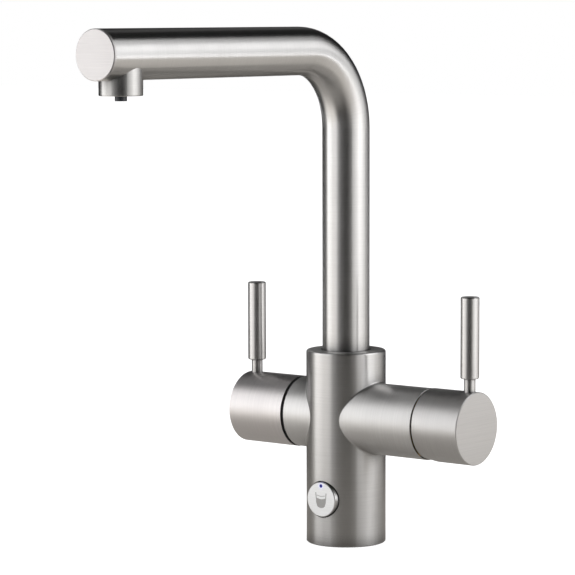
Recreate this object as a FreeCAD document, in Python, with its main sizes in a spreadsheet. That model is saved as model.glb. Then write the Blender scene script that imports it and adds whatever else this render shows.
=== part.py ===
import FreeCAD, Part
import Sketcher
import math
import os
import re

# Three way filtered water tap: hot and cold mixer on the right, filtered water valve on the left,
# one swivelling spout with two separate waterways, and a round push button low on the column.
#
# Frame: the origin is the centre of the column's foot on the worktop and +Z is up.
# The spout reaches towards -Y, the mixer arm towards +X and the filter arm towards -X.
# Sizes are in millimetres. Along an arm, a place is its distance from the column's axis.

SIZES = {
    # column
    "body_radius": 25.0,
    "body_height": 122.0,
    "body_wall": 3.5,
    "body_top_round": 1.4,
    "body_foot_chamfer": 0.8,
    "cavity_height": 46.0,
    # arms
    "handle_height": 80.0,
    "arm_radius": 22.25,
    "arm_edge": 0.3,
    "arm_root_round": 1.2,
    "left_arm_reach": 33.3,
    "right_arm_reach": 65.4,
    "lip_wall": 0.85,
    "lip_depth": 5.4,
    "lip_chamfer": 0.35,
    # foot seal, fixing plate and cable grommet
    "seal_inset": 1.0,
    "seal_width": 1.5,
    "seal_depth": 1.6,
    "plate_height": 3.0,
    "plate_thickness": 7.0,
    "hose_way_radius": 15.2,
    "hose_way_offset": 4.5,
    "stud_radius": 3.4,
    "stud_offset": 13.0,
    "stud_spacing": 18.0,
    "grommet_offset": 17.2,
    "grommet_radius": 3.1,
    "grommet_bore": 1.8,
    "grommet_lip": 0.6,
    # waterways
    "hose_thread_radius": 4.55,
    "hose_thread_depth": 10.0,
    "cold_thread_runout": 0.9,
    "filter_thread_runout": 1.6,
    "way_radius": 2.9,
    "mixer_riser_offset": 12.0,
    "filter_riser_offset": 3.0,
    "outlet_riser_offset": 8.2,
    "inlet_spread": 6.5,
    "inlet_rise": 4.7,
    "outlet_drop": 5.5,
    "crossing_drop": 7.0,
    "crossing_offset": 14.0,
    # spout socket
    "running_clearance": 0.05,
    "socket_slack": 0.2,
    "socket_depth": 20.0,
    "bush_wall": 0.9,
    "bush_depth": 5.0,
    "washer_width": 3.2,
    "washer_thickness": 1.0,
    "port_radius": 4.15,
    "port_depth": 4.0,
    # spout foot
    "foot_height": 11.4,
    "foot_plug": 10.0,
    "foot_way_radius": 2.5,
    "foot_way_offset": 8.3,
    "ring_section": 1.0,
    "ring_one_height": 2.0,
    "ring_two_height": 4.9,
    "small_ring_section": 0.6,
    "spigot_length": 4.5,
    "spigot_ring_height": 1.6,
    "stop_height": 8.7,
    "stop_radius": 1.5,
    "stop_slack": 0.3,
    "stop_reach": 1.7,
    "slot_depth": 2.4,
    "swivel_reach": 75.0,
    "stop_screw_radius": 2.5,
    "screw_recess": 0.5,
    # spout
    "tube_radius": 14.8,
    "tube_wall": 1.5,
    "spout_height": 309.4,
    "bend_radius": 48.4,
    "spout_reach": 233.3,
    "cap_thickness": 2.0,
    "cap_spigot": 4.0,
    "cap_chamfer": 0.5,
    # outlet
    "outlet_inset": 21.8,
    "outlet_length": 23.4,
    "outlet_radius": 12.7,
    "outlet_wall": 1.6,
    "outlet_chamfer": 0.4,
    "aerator_inset": 0.6,
    "aerator_wall": 1.3,
    "aerator_depth": 11.0,
    "grid_thickness": 2.6,
    "grid_bar": 0.7,
    "core_gap": 0.6,
    "core_way_radius": 0.85,
    "nozzle_radius": 3.5,
    "nozzle_drop": 3.0,
    "nozzle_length": 14.0,
    "nozzle_socket": 5.0,
    "inner_tube_radius": 3.0,
    "inner_tube_wall": 1.0,
    "inner_bend": 8.0,
    "inner_tube_seat": 5.0,
    # levers and knobs
    "knob_radius": 22.5,
    "knob_bore": 19.4,
    "knob_edge": 0.5,
    "left_gap": 1.9,
    "left_knob_length": 41.9,
    "left_bore_depth": 21.8,
    "right_gap": 1.2,
    "right_knob_length": 33.2,
    "right_bore_depth": 16.9,
    "relief_drop": 1.1,
    "relief_side": 0.3,
    "relief_length": 8.5,
    "relief_runout": 0.04,
    "lever_inset": 5.4,
    "lever_radius": 5.75,
    "lever_length": 50.0,
    "lever_chamfer": 0.6,
    "neck_radius": 3.5,
    "neck_length": 8.0,
    "neck_seat": 2.5,
    "lever_thread_radius": 2.5,
    "lever_thread_length": 7.5,
    "grub_radius": 2.0,
    "grub_length": 7.0,
    "left_grub_inset": 4.5,
    "right_grub_inset": 4.0,
    # filter valve, along the left arm
    "filter_seat": 8.0,
    "seat_washer_thickness": 1.5,
    "filter_barrel_radius": 11.0,
    "filter_barrel_length": 20.0,
    "filter_chamber_radius": 9.3,
    "filter_disc_radius": 9.0,
    "filter_disc_thickness": 3.0,
    "filter_way_radius": 2.6,
    "filter_way_offset": 4.8,
    "drive_plate_thickness": 3.0,
    "drive_gap": 0.3,
    "window_width": 6.0,
    "window_length": 4.0,
    "filter_flange_radius": 17.0,
    "filter_flange_thickness": 4.5,
    "filter_guide_radius": 8.0,
    "filter_guide_length": 15.0,
    "left_counterbore": 19.0,
    "spindle_radius": 4.0,
    "spline_tooth": 0.5,
    "spline_length": 12.0,
    "adapter_radius": 7.0,
    "slip_ring_bore": 12.0,
    "slip_ring_radius": 21.3,
    "slip_ring_gap": 0.2,
    # mixer cartridge, along the right arm
    "mixer_seat": 38.0,
    "cartridge_radius": 17.5,
    "cartridge_slack": 0.1,
    "cartridge_wall": 1.6,
    "base_plate_thickness": 4.0,
    "port_seal_width": 1.4,
    "port_seal_depth": 1.5,
    "fixed_disc_radius": 13.0,
    "fixed_disc_thickness": 4.0,
    "moving_disc_radius": 11.0,
    "moving_disc_thickness": 3.3,
    "moving_disc_recess": 6.6,
    "recess_depth": 2.0,
    "recess_offset": 2.6,
    "holder_thickness": 4.7,
    "holder_floor": 1.0,
    "disc_set_back": 3.4,
    "carrier_gap": 0.2,
    "carrier_flange_radius": 15.6,
    "carrier_flange_thickness": 2.0,
    "shoulder_gap": 0.1,
    "shoulder_thickness": 1.5,
    "neck_bore": 11.5,
    "neck_wall": 2.6,
    "neck_reach": 64.5,
    "nut_radius": 20.0,
    "nut_length": 6.8,
    "nut_lip": 2.0,
    "pivot_offset": 8.0,
    "pin_radius": 1.5,
    "ear_top": 3.4,
    "fork_width": 10.4,
    "fork_slack": 0.2,
    "pin_inset": 0.9,
    "ball_radius": 2.2,
    "ball_slack": 0.25,
    "ball_depth": 0.3,
    "ball_arm_radius": 1.8,
    "stem_block_height": 12.0,
    "stem_block_back": 6.0,
    "stem_block_front": 5.0,
    "stem_square": 8.5,
    "stem_grip": 8.0,
    # push button
    "button_height": 29.8,
    "button_radius": 10.9,
    "button_stand": 1.1,
    "button_face": 1.6,
    "button_skirt": 0.9,
    "button_skirt_length": 8.0,
    "button_edge": 0.4,
    "button_slack": 0.1,
    "button_sleeve_wall": 0.6,
    "button_sleeve_inset": 3.0,
    "button_sleeve_depth": 9.0,
    "button_floor": 1.0,
    "button_travel": 0.8,
    "switch_side": 6.0,
    "switch_height": 3.5,
    "plunger_radius": 1.4,
    "plunger_sink": 1.8,
    "plunger_stand": 1.0,
    "light_rise": 8.6,
    "light_radius": 1.15,
    "light_post_radius": 0.95,
    "light_post_gap": 1.0,
    "dome_radius": 7.2,
    "dome_top_radius": 5.6,
    "dome_wall": 0.6,
    "dome_flange": 1.0,
    "dome_rim": 2.0,
}

# What follows from the sizes above: each place and each seat is worked out once, here.
DERIVED = {
    "cavity_radius": "body_radius - body_wall",
    "socket_floor": "body_height - socket_depth",
    "crossing_height": "socket_floor - crossing_drop",
    "socket_radius": "tube_radius + socket_slack",
    "bush_bore": "tube_radius + running_clearance",
    "bush_radius": "bush_bore + bush_wall",
    "foot_radius": "socket_radius - running_clearance",
    "spigot_radius": "port_radius - running_clearance",
    "foot_bottom": "socket_floor + washer_thickness",
    "tube_bottom": "foot_bottom + foot_height",
    "tube_bore": "tube_radius - tube_wall",
    "inner_bore": "inner_tube_radius - inner_tube_wall",
    "bend_start": "spout_height - bend_radius",
    "tube_reach": "spout_reach - cap_thickness",
    "outlet_reach": "spout_reach - outlet_inset",
    "outlet_bottom": "spout_height - outlet_length",
    "slot_floor": "foot_radius - slot_depth",
    "slot_half_angle": "swivel_reach + 180 / pi * (stop_radius + stop_slack) / slot_floor",
    "outlet_bore": "outlet_radius - outlet_wall",
    "aerator_bore": "outlet_bore - aerator_wall",
    "grid_bottom": "outlet_bottom + aerator_inset",
    "nozzle_bottom": "outlet_bottom - nozzle_drop",
    "inner_tube_end": "nozzle_bottom + nozzle_length - nozzle_socket",
    "lip_bore": "arm_radius - lip_wall",
    "left_knob_start": "left_arm_reach + left_gap",
    "left_hub": "left_knob_start + left_bore_depth",
    "left_knob_end": "left_knob_start + left_knob_length",
    "left_lever_place": "left_knob_end - lever_inset",
    "right_knob_start": "right_arm_reach + right_gap",
    "right_hub": "right_knob_start + right_bore_depth",
    "right_knob_end": "right_knob_start + right_knob_length",
    "right_lever_place": "right_knob_end - lever_inset",
    "neck_bottom": "knob_radius - neck_seat",
    "lever_bottom": "knob_radius + neck_length",
    "filter_disc_start": "filter_seat + seat_washer_thickness",
    "filter_moving_start": "filter_disc_start + filter_disc_thickness",
    "drive_start": "filter_moving_start + filter_disc_thickness",
    "chamber_end": "drive_start + drive_plate_thickness + drive_gap",
    "barrel_end": "filter_seat + filter_barrel_length",
    "flange_end": "barrel_end + filter_flange_thickness",
    "guide_end": "flange_end + filter_guide_length",
    "guide_bore": "spindle_radius + running_clearance",
    "spline_start": "left_hub + drive_gap",
    "spline_end": "spline_start + spline_length",
    "cartridge_bore": "cartridge_radius + cartridge_slack",
    "cartridge_chamber": "cartridge_radius - cartridge_wall",
    "fixed_disc_start": "mixer_seat + base_plate_thickness",
    "moving_disc_start": "fixed_disc_start + fixed_disc_thickness",
    "holder_start": "moving_disc_start + moving_disc_thickness",
    "holder_end": "holder_start + holder_thickness",
    "flange_start": "holder_end + carrier_gap",
    "carrier_flange_end": "flange_start + carrier_flange_thickness",
    "chamber_top": "carrier_flange_end + shoulder_gap",
    "shoulder_end": "chamber_top + shoulder_thickness",
    "neck_radius_out": "neck_bore + neck_wall",
    "nut_end": "shoulder_end + nut_lip",
    "nut_start": "nut_end - nut_length",
    "lip_start": "right_arm_reach - lip_depth",
    "pivot_place": "right_knob_start + pivot_offset",
    "ball_place": "holder_start + holder_floor + ball_radius + ball_depth",
    "stem_end": "right_hub + stem_grip",
    "button_front": "body_radius + button_stand",
    "button_back": "button_front - button_face",
    "sleeve_bore": "button_radius + button_slack",
    "sleeve_radius": "sleeve_bore + button_sleeve_wall",
    "sleeve_front": "body_radius - button_sleeve_inset",
    "sleeve_back": "sleeve_front - button_sleeve_depth",
    "sleeve_inside": "sleeve_back + button_floor",
    "switch_front": "sleeve_inside + switch_height",
}

DIRECTIONS = {
    "up": FreeCAD.Rotation(),
    "right": FreeCAD.Rotation(FreeCAD.Vector(0, 1, 0), 90),
    "left": FreeCAD.Rotation(FreeCAD.Vector(0, 1, 0), -90),
    "front": FreeCAD.Rotation(FreeCAD.Vector(1, 0, 0), 90),
    "rear": FreeCAD.Rotation(FreeCAD.Vector(1, 0, 0), -90),
    "down": FreeCAD.Rotation(FreeCAD.Vector(1, 0, 0), 180),
}

doc = FreeCAD.newDocument("FilteredWaterTap")
finished = []


def write_sheet(name, cells, as_formula):
    """A spreadsheet with one named cell per row."""
    sheet = doc.addObject("Spreadsheet::Sheet", name)
    for row, (alias, content) in enumerate(cells.items(), start=1):
        sheet.set(f"A{row}", alias)
        sheet.set(f"B{row}", "=" + formula(content) if as_formula else str(content))
        sheet.setAlias(f"B{row}", alias)
        if as_formula:
            doc.recompute()
    doc.recompute()
    return sheet


def formula(text):
    """The text with every named size pointed at its sheet."""

    def point(match):
        word = match.group()
        if word in SIZES:
            return "Sizes." + word
        if word in DERIVED:
            return "Derived." + word
        return word

    return re.sub(r"[a-z]\w*", point, text)


def bind(item, **properties):
    """Ties properties of an object to sizes of the sheets."""
    for name, text in properties.items():
        item.setExpression(name, formula(text))
    return item


def place(item, direction="up", x="0", y="0", z="0"):
    """Turns an object's own Z axis to a direction and ties its origin to the sheets."""
    item.Placement = FreeCAD.Placement(FreeCAD.Vector(), DIRECTIONS[direction])
    for axis, text in (("x", x), ("y", y), ("z", z)):
        if text != "0":
            item.setExpression("Placement.Base." + axis, formula(text))
    return item


def rod(name, radius, length, direction="up", **start):
    """A cylinder from its start point along a direction."""
    item = doc.addObject("Part::Cylinder", name)
    place(item, direction, **start)
    return bind(item, Radius=radius, Height=length)


def block(name, length, width, height, x, y, z):
    """A box along the row axes from its lowest corner."""
    item = doc.addObject("Part::Box", name)
    place(item, "up", x, y, z)
    return bind(item, Length=length, Width=width, Height=height)


def hexagon(name, corner_radius, length, direction="up", **start):
    """A hexagonal bar from its start point along a direction."""
    item = doc.addObject("Part::Prism", name)
    item.Polygon = 6
    place(item, direction, **start)
    return bind(item, Circumradius=corner_radius, Height=length)


def join(name, *items):
    """Several solids fused into one."""
    item = doc.addObject("Part::MultiFuse", name)
    item.Shapes = list(items)
    item.Refine = True
    return item


def cut(name, base, *tools):
    """A solid less one or more others."""
    item = doc.addObject("Part::Cut", name)
    item.Base = base
    item.Tool = tools[0] if len(tools) == 1 else join(name + "_cutters", *tools)
    return item


def gather(name, *items):
    """Separate solids that make one group."""
    item = doc.addObject("Part::Compound", name)
    item.Links = list(items)
    return item


def tube(name, outer, inner, length, direction="up", **start):
    """A hollow cylinder."""
    outside = rod(name + "_outside", outer, length, direction, **start)
    inside = rod(name + "_inside", inner, length, direction, **start)
    return cut(name, outside, inside)


def plane_of(body, role):
    """One of a body's own origin planes."""
    return next(item for item in body.Origin.OriginFeatures if item.Role == role)


def outline_sketch(body, name, role, corners):
    """A closed outline on a plane of the body; each corner is a pair of sizes across and along."""
    sketch = body.newObject("Sketcher::SketchObject", name)
    sketch.AttachmentSupport = (plane_of(body, role), [""])
    sketch.MapMode = "FlatFace"
    count = len(corners)
    turn = 2 * math.pi / count
    points = [FreeCAD.Vector(2 + math.cos(turn * i), 2 + math.sin(turn * i), 0) for i in range(count)]
    for i in range(count):
        sketch.addGeometry(Part.LineSegment(points[i], points[(i + 1) % count]), False)
    for i in range(count):
        sketch.addConstraint(Sketcher.Constraint("Coincident", i, 2, (i + 1) % count, 1))
    for i, (across, along) in enumerate(corners):
        for kind, text, axis in (("DistanceX", across, -2), ("DistanceY", along, -1)):
            if text == "0":
                sketch.addConstraint(Sketcher.Constraint("PointOnObject", i, 1, axis))
                continue
            index = sketch.addConstraint(Sketcher.Constraint(kind, -1, 1, i, 1, 1.0))
            label = f"{kind}_{i}"
            sketch.renameConstraint(index, label)
            sketch.setExpression("Constraints." + label, formula(text))
    return sketch


def turned(name, corners, direction="up", **start):
    """A lathe-turned body: corners are pairs of radius and height round its half section."""
    body = doc.addObject("PartDesign::Body", name)
    sketch = outline_sketch(body, name + "_section", "XZ_Plane", corners)
    turning = body.newObject("PartDesign::Revolution", name + "_turning")
    turning.Profile = sketch
    turning.ReferenceAxis = (sketch, ["V_Axis"])
    turning.Angle = 360
    place(body, direction, **start)
    return body


def finish(item, label):
    """Names a finished sub-part; its label is also its file's name."""
    item.Label = label
    finished.append(item)
    return item


def filleted(name, base, size, chosen):
    """Rounds the edges of a solid that a test picks out."""
    doc.recompute()
    item = doc.addObject("Part::Fillet", name)
    item.Base = base
    radius = sizes.get(size)
    edges = [i for i, edge in enumerate(base.Shape.Edges, start=1) if chosen(edge)]
    item.Edges = [(i, radius, radius) for i in edges]
    return item


# ---------------------------------------------------------------- column and waterways


def body_outside():
    """The column and its two arms, as one cast and turned piece."""
    column = turned(
        "column",
        [
            ("0", "0"),
            ("body_radius - body_foot_chamfer", "0"),
            ("body_radius", "body_foot_chamfer"),
            ("body_radius", "body_height"),
            ("0", "body_height"),
        ],
    )

    def is_top_edge(edge):
        return edge.BoundBox.ZMin > sizes.get("body_height") - 0.01

    column = filleted("rounded_column", column, "body_top_round", is_top_edge)
    arms = []
    for side, reach in (("left", "left_arm_reach"), ("right", "right_arm_reach")):
        corners = [
            ("0", "0"),
            ("arm_radius", "0"),
            ("arm_radius", reach + " - arm_edge"),
            ("arm_radius - arm_edge", reach),
            ("0", reach),
        ]
        arms.append(turned(side + "_arm", corners, side, z="handle_height"))
    crossing = join("column_and_arms", column, *arms)

    def is_arm_root(edge):
        """True where the round of an arm meets the round of the column."""
        middle = edge.valueAt((edge.FirstParameter + edge.LastParameter) / 2)
        from_column = math.hypot(middle.x, middle.y) - sizes.get("body_radius")
        from_arm = math.hypot(middle.y, middle.z - sizes.get("handle_height")) - sizes.get("arm_radius")
        return abs(from_column) < 0.01 and abs(from_arm) < 0.01

    return filleted("body_outside", crossing, "arm_root_round", is_arm_root)


def spout_socket():
    """The bores that hold the spout: bush seat, socket, filtered water port and stop screw."""
    return [
        rod("socket_bore", "socket_radius", "socket_depth + 1", z="socket_floor"),
        rod("bush_seat", "bush_radius", "bush_depth + 1", z="body_height - bush_depth"),
        rod("centre_port", "port_radius", "port_depth + 1", z="socket_floor - port_depth"),
        rod(
            "stop_screw_hole",
            "stop_screw_radius",
            "body_radius",
            "rear",
            y="socket_radius - socket_slack * 2",
            z="foot_bottom + stop_height",
        ),
    ]


def mixer_waterways():
    """Hot and cold risers to the mixer seat, and the way back up to the spout."""
    ways = []
    for name, side, runout in (("hot", "", "0"), ("cold", "-", "cold_thread_runout")):
        spread = side + "inlet_spread"
        ways += [
            rod(
                name + "_hose_thread",
                "hose_thread_radius",
                "hose_thread_depth + 1 + " + runout,
                x="mixer_riser_offset",
                y=spread,
                z="cavity_height - 1",
            ),
            rod(
                name + "_riser",
                "way_radius",
                "handle_height + inlet_rise - cavity_height",
                x="mixer_riser_offset",
                y=spread,
                z="cavity_height",
            ),
            rod(
                name + "_inlet",
                "way_radius",
                "mixer_seat - mixer_riser_offset + 1",
                "right",
                x="mixer_riser_offset",
                y=spread,
                z="handle_height + inlet_rise",
            ),
        ]
    mixed_level = "handle_height - outlet_drop"
    ways.append(
        rod(
            "mixed_outlet",
            "way_radius",
            "mixer_seat - outlet_riser_offset + 1",
            "right",
            x="outlet_riser_offset",
            z=mixed_level,
        )
    )
    ways.append(
        rod(
            "mixed_riser",
            "way_radius",
            "socket_floor - handle_height + outlet_drop + 1",
            x="outlet_riser_offset",
            z=mixed_level,
        )
    )
    return ways


def filter_waterways():
    """The filtered riser to the left valve, and the crossing from it to the spout's centre."""
    return [
        rod(
            "filter_hose_thread",
            "hose_thread_radius",
            "hose_thread_depth + 1 + filter_thread_runout",
            x="-filter_riser_offset",
            z="cavity_height - 1",
        ),
        rod(
            "filter_riser",
            "way_radius",
            "handle_height - cavity_height",
            x="-filter_riser_offset",
            z="cavity_height",
        ),
        rod(
            "filter_inlet",
            "way_radius",
            "filter_seat - filter_riser_offset + 1",
            "left",
            x="-filter_riser_offset",
            z="handle_height",
        ),
        rod(
            "filter_outlet",
            "filter_way_radius",
            "crossing_height - handle_height",
            x="-crossing_offset",
            z="handle_height",
        ),
        rod("crossing", "filter_way_radius", "crossing_offset", "left", z="crossing_height"),
        rod(
            "centre_riser",
            "way_radius",
            "socket_floor - crossing_height",
            z="crossing_height",
        ),
    ]


def valve_seats():
    """The stepped bores of the two arms, each wider towards its mouth."""
    steps = [
        ("filter_bore", "filter_barrel_radius", "filter_seat", "left"),
        ("filter_counterbore", "left_counterbore", "barrel_end", "left"),
        ("cartridge_seat", "cartridge_bore", "mixer_seat", "right"),
        ("nut_thread", "nut_radius", "nut_start", "right"),
        ("lip_clearance", "lip_bore", "lip_start", "right"),
    ]
    bores = []
    for name, radius, start, side in steps:
        corners = [
            ("0", start),
            (radius, start),
            (radius, side + "_arm_reach + 1"),
            ("0", side + "_arm_reach + 1"),
        ]
        bores.append(turned(name, corners, side, z="handle_height"))
    chamfer = turned(
        "lip_chamfer_cone",
        [
            ("0", "right_arm_reach - lip_chamfer * 2"),
            ("lip_bore", "right_arm_reach - lip_chamfer * 2"),
            ("lip_bore + lip_chamfer", "right_arm_reach"),
            ("lip_bore + lip_chamfer", "right_arm_reach + 1"),
            ("0", "right_arm_reach + 1"),
        ],
        "right",
        z="handle_height",
    )
    return bores + [chamfer]


def foot_cutters():
    """The open base of the column: hose cavity, seal groove and button hole."""
    return [
        rod("hose_cavity", "cavity_radius", "cavity_height"),
        tube(
            "seal_groove",
            "body_radius - seal_inset",
            "body_radius - seal_inset - seal_width",
            "seal_depth",
        ),
        rod(
            "button_hole",
            "sleeve_radius",
            "body_radius",
            "front",
            y="-cavity_radius / 2",
            z="button_height",
        ),
    ]


def body_shell():
    cutters = foot_cutters() + spout_socket() + mixer_waterways() + filter_waterways() + valve_seats()
    finish(cut("body_shell", body_outside(), *cutters), "body_shell")


def foot_seal():
    ring = tube(
        "base_seal_ring",
        "body_radius - seal_inset",
        "body_radius - seal_inset - seal_width",
        "seal_depth",
    )
    finish(ring, "base_seal_ring")


def fixing_plate():
    """A thick plate inside the foot, with two threaded stud holes and a wide way for the hoses."""
    plate = rod("plate_blank", "cavity_radius", "plate_thickness", z="plate_height")
    cutters = [
        rod("hose_way", "hose_way_radius", "plate_thickness", x="hose_way_offset", z="plate_height"),
        rod("cable_way", "grommet_radius", "plate_thickness", x="-grommet_offset", z="plate_height"),
    ]
    for name, side in (("rear", ""), ("front", "-")):
        cutters.append(
            rod(
                name + "_stud_hole",
                "stud_radius",
                "plate_thickness",
                x="-stud_offset",
                y=side + "stud_spacing / 2",
                z="plate_height",
            )
        )
    finish(cut("fixing_plate", plate, *cutters), "fixing_plate")


def cable_grommet():
    """A flanged rubber bush in the plate's small hole."""
    corners = [
        ("grommet_bore", "-grommet_lip"),
        ("grommet_radius + grommet_lip", "-grommet_lip"),
        ("grommet_radius + grommet_lip", "0"),
        ("grommet_radius", "0"),
        ("grommet_radius", "plate_thickness"),
        ("grommet_radius + grommet_lip", "plate_thickness"),
        ("grommet_radius + grommet_lip", "plate_thickness + grommet_lip"),
        ("grommet_bore", "plate_thickness + grommet_lip"),
    ]
    grommet = turned("cable_grommet", corners, x="-grommet_offset", z="plate_height")
    finish(grommet, "cable_grommet")


def spout_bearings():
    """The thin bush round the tube at the column's top and the washer that the spout stands on."""
    bush = tube(
        "spout_bush", "bush_radius", "bush_bore", "bush_depth", z="body_height - bush_depth"
    )
    finish(bush, "spout_bush")
    washer = tube(
        "spout_thrust_washer",
        "socket_radius",
        "socket_radius - washer_width",
        "washer_thickness",
        z="socket_floor",
    )
    finish(washer, "spout_thrust_washer")


def stop_screw():
    """A grub screw in the column's back, whose plain tip rides in the slot of the spout's foot."""
    corners = [
        ("0", "socket_radius - stop_reach"),
        ("stop_radius", "socket_radius - stop_reach"),
        ("stop_radius", "socket_radius + stop_slack"),
        ("stop_screw_radius", "socket_radius + stop_slack"),
        ("stop_screw_radius", "body_radius - screw_recess"),
        ("0", "body_radius - screw_recess"),
    ]
    screw = turned("stop_screw_blank", corners, "rear", z="foot_bottom + stop_height")
    socket = hexagon(
        "stop_screw_socket",
        "stop_radius",
        "stop_screw_radius + 1",
        "rear",
        y="body_radius - screw_recess - stop_screw_radius",
        z="foot_bottom + stop_height",
    )
    finish(cut("spout_stop_screw", screw, socket), "spout_stop_screw")


# ---------------------------------------------------------------- spout


def bent_rod(name, radius):
    """A rod along the spout's line: up the column's axis, round the bend and out to the front."""
    upright = rod(name + "_upright", radius, "bend_start - tube_bottom", z="tube_bottom")
    bend = doc.addObject("Part::Torus", name + "_bend")
    bend.Angle3 = 90
    bend.Placement = FreeCAD.Placement(
        FreeCAD.Vector(), FreeCAD.Rotation(FreeCAD.Vector(1, 1, 1), 120)
    )
    bend.setExpression("Placement.Base.y", formula("-bend_radius"))
    bend.setExpression("Placement.Base.z", formula("bend_start"))
    bind(bend, Radius1="bend_radius", Radius2=radius)
    reach = rod(
        name + "_reach",
        radius,
        "tube_reach - bend_radius",
        "front",
        y="-bend_radius",
        z="spout_height",
    )
    return join(name, upright, bend, reach)


def spout_tube():
    outside = bent_rod("tube_outside", "tube_radius")
    inside = bent_rod("tube_inside", "tube_bore")
    opening = rod(
        "outlet_opening",
        "outlet_radius",
        "spout_height - outlet_bottom",
        y="-outlet_reach",
        z="outlet_bottom",
    )
    finish(cut("spout_tube", outside, inside, opening), "spout_tube")


def spout_end_cap():
    """The flat disc that closes the spout, with a spigot inside the tube."""
    corners = [
        ("0", "tube_reach - cap_spigot"),
        ("tube_bore", "tube_reach - cap_spigot"),
        ("tube_bore", "tube_reach"),
        ("tube_radius", "tube_reach"),
        ("tube_radius", "spout_reach - cap_chamfer"),
        ("tube_radius - cap_chamfer", "spout_reach"),
        ("0", "spout_reach"),
    ]
    finish(turned("spout_end_cap", corners, "front", z="spout_height"), "spout_end_cap")


def spout_foot():
    """The turned foot that carries the spout: seal grooves, stop slot, plug and filtered spigot."""
    half_small = "small_ring_section * 1.25"
    half_large = "ring_section * 1.2"
    corners = [
        ("inner_bore", "0"),
        ("spigot_radius", "0"),
        ("spigot_radius", f"spigot_ring_height - {half_small}"),
        ("spigot_radius - small_ring_section * 2", f"spigot_ring_height - {half_small}"),
        ("spigot_radius - small_ring_section * 2", f"spigot_ring_height + {half_small}"),
        ("spigot_radius", f"spigot_ring_height + {half_small}"),
        ("spigot_radius", "spigot_length"),
        ("foot_radius", "spigot_length"),
    ]
    for height in ("ring_one_height", "ring_two_height"):
        corners += [
            ("foot_radius", f"spigot_length + {height} - {half_large}"),
            ("foot_radius - ring_section * 2", f"spigot_length + {height} - {half_large}"),
            ("foot_radius - ring_section * 2", f"spigot_length + {height} + {half_large}"),
            ("foot_radius", f"spigot_length + {height} + {half_large}"),
        ]
    corners += [
        ("foot_radius", "spigot_length + foot_height"),
        ("tube_bore", "spigot_length + foot_height"),
        ("tube_bore", "spigot_length + foot_height + foot_plug"),
        ("inner_tube_radius", "spigot_length + foot_height + foot_plug"),
        ("inner_tube_radius", "spigot_length + inner_tube_seat"),
        ("inner_bore", "spigot_length + inner_tube_seat"),
    ]
    blank = turned("foot_blank", corners, z="foot_bottom - spigot_length")
    ways = []
    for name, x, y in (("a", "1", "0"), ("b", "0", "1"), ("c", "-1", "0"), ("d", "0", "-1")):
        ways.append(
            rod(
                "foot_way_" + name,
                "foot_way_radius",
                "foot_height + foot_plug + 2",
                x=f"foot_way_offset * {x}",
                y=f"foot_way_offset * {y}",
                z="foot_bottom - 1",
            )
        )
    sector = rod(
        "slot_sector",
        "foot_radius + 1",
        "(stop_radius + stop_slack) * 2",
        z="foot_bottom + stop_height - stop_radius - stop_slack",
    )
    bind(sector, Angle="slot_half_angle * 2")
    sector.Placement.Rotation = FreeCAD.Rotation(FreeCAD.Vector(0, 0, 1), 90)
    sector.setExpression("Placement.Rotation.Angle", formula("90 - slot_half_angle"))
    slot = cut(
        "stop_slot",
        sector,
        rod("slot_core", "slot_floor", "foot_height", z="foot_bottom"),
    )
    finish(cut("spout_foot", blank, slot, *ways), "spout_foot")


def spout_o_rings():
    """Two rings in the foot's grooves and a small one on the filtered spigot."""
    rings = []
    places = [
        ("lower", "foot_radius", "ring_section", "foot_bottom + ring_one_height"),
        ("upper", "foot_radius", "ring_section", "foot_bottom + ring_two_height"),
        (
            "spigot",
            "spigot_radius",
            "small_ring_section",
            "foot_bottom - spigot_length + spigot_ring_height",
        ),
    ]
    for name, radius, section, height in places:
        ring = doc.addObject("Part::Torus", name + "_o_ring")
        bind(ring, Radius1=f"{radius} - {section}", Radius2=section)
        rings.append(place(ring, z=height))
    finish(gather("spout_o_rings", *rings), "spout_o_rings")


def outlet_socket():
    """The short upright tube under the spout, whose top follows the bore of the spout's tube."""
    corners = [
        ("outlet_bore", "0"),
        ("outlet_radius - outlet_chamfer", "0"),
        ("outlet_radius", "outlet_chamfer"),
        ("outlet_radius", "spout_height - outlet_bottom"),
        ("outlet_bore", "spout_height - outlet_bottom"),
    ]
    ring = turned("outlet_ring", corners, y="-outlet_reach", z="outlet_bottom")
    saddle = rod(
        "outlet_saddle",
        "tube_bore",
        "outlet_radius * 3",
        "front",
        y="outlet_radius * 1.5 - outlet_reach",
        z="spout_height",
    )
    finish(cut("outlet_socket", ring, saddle), "outlet_socket")


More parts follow.
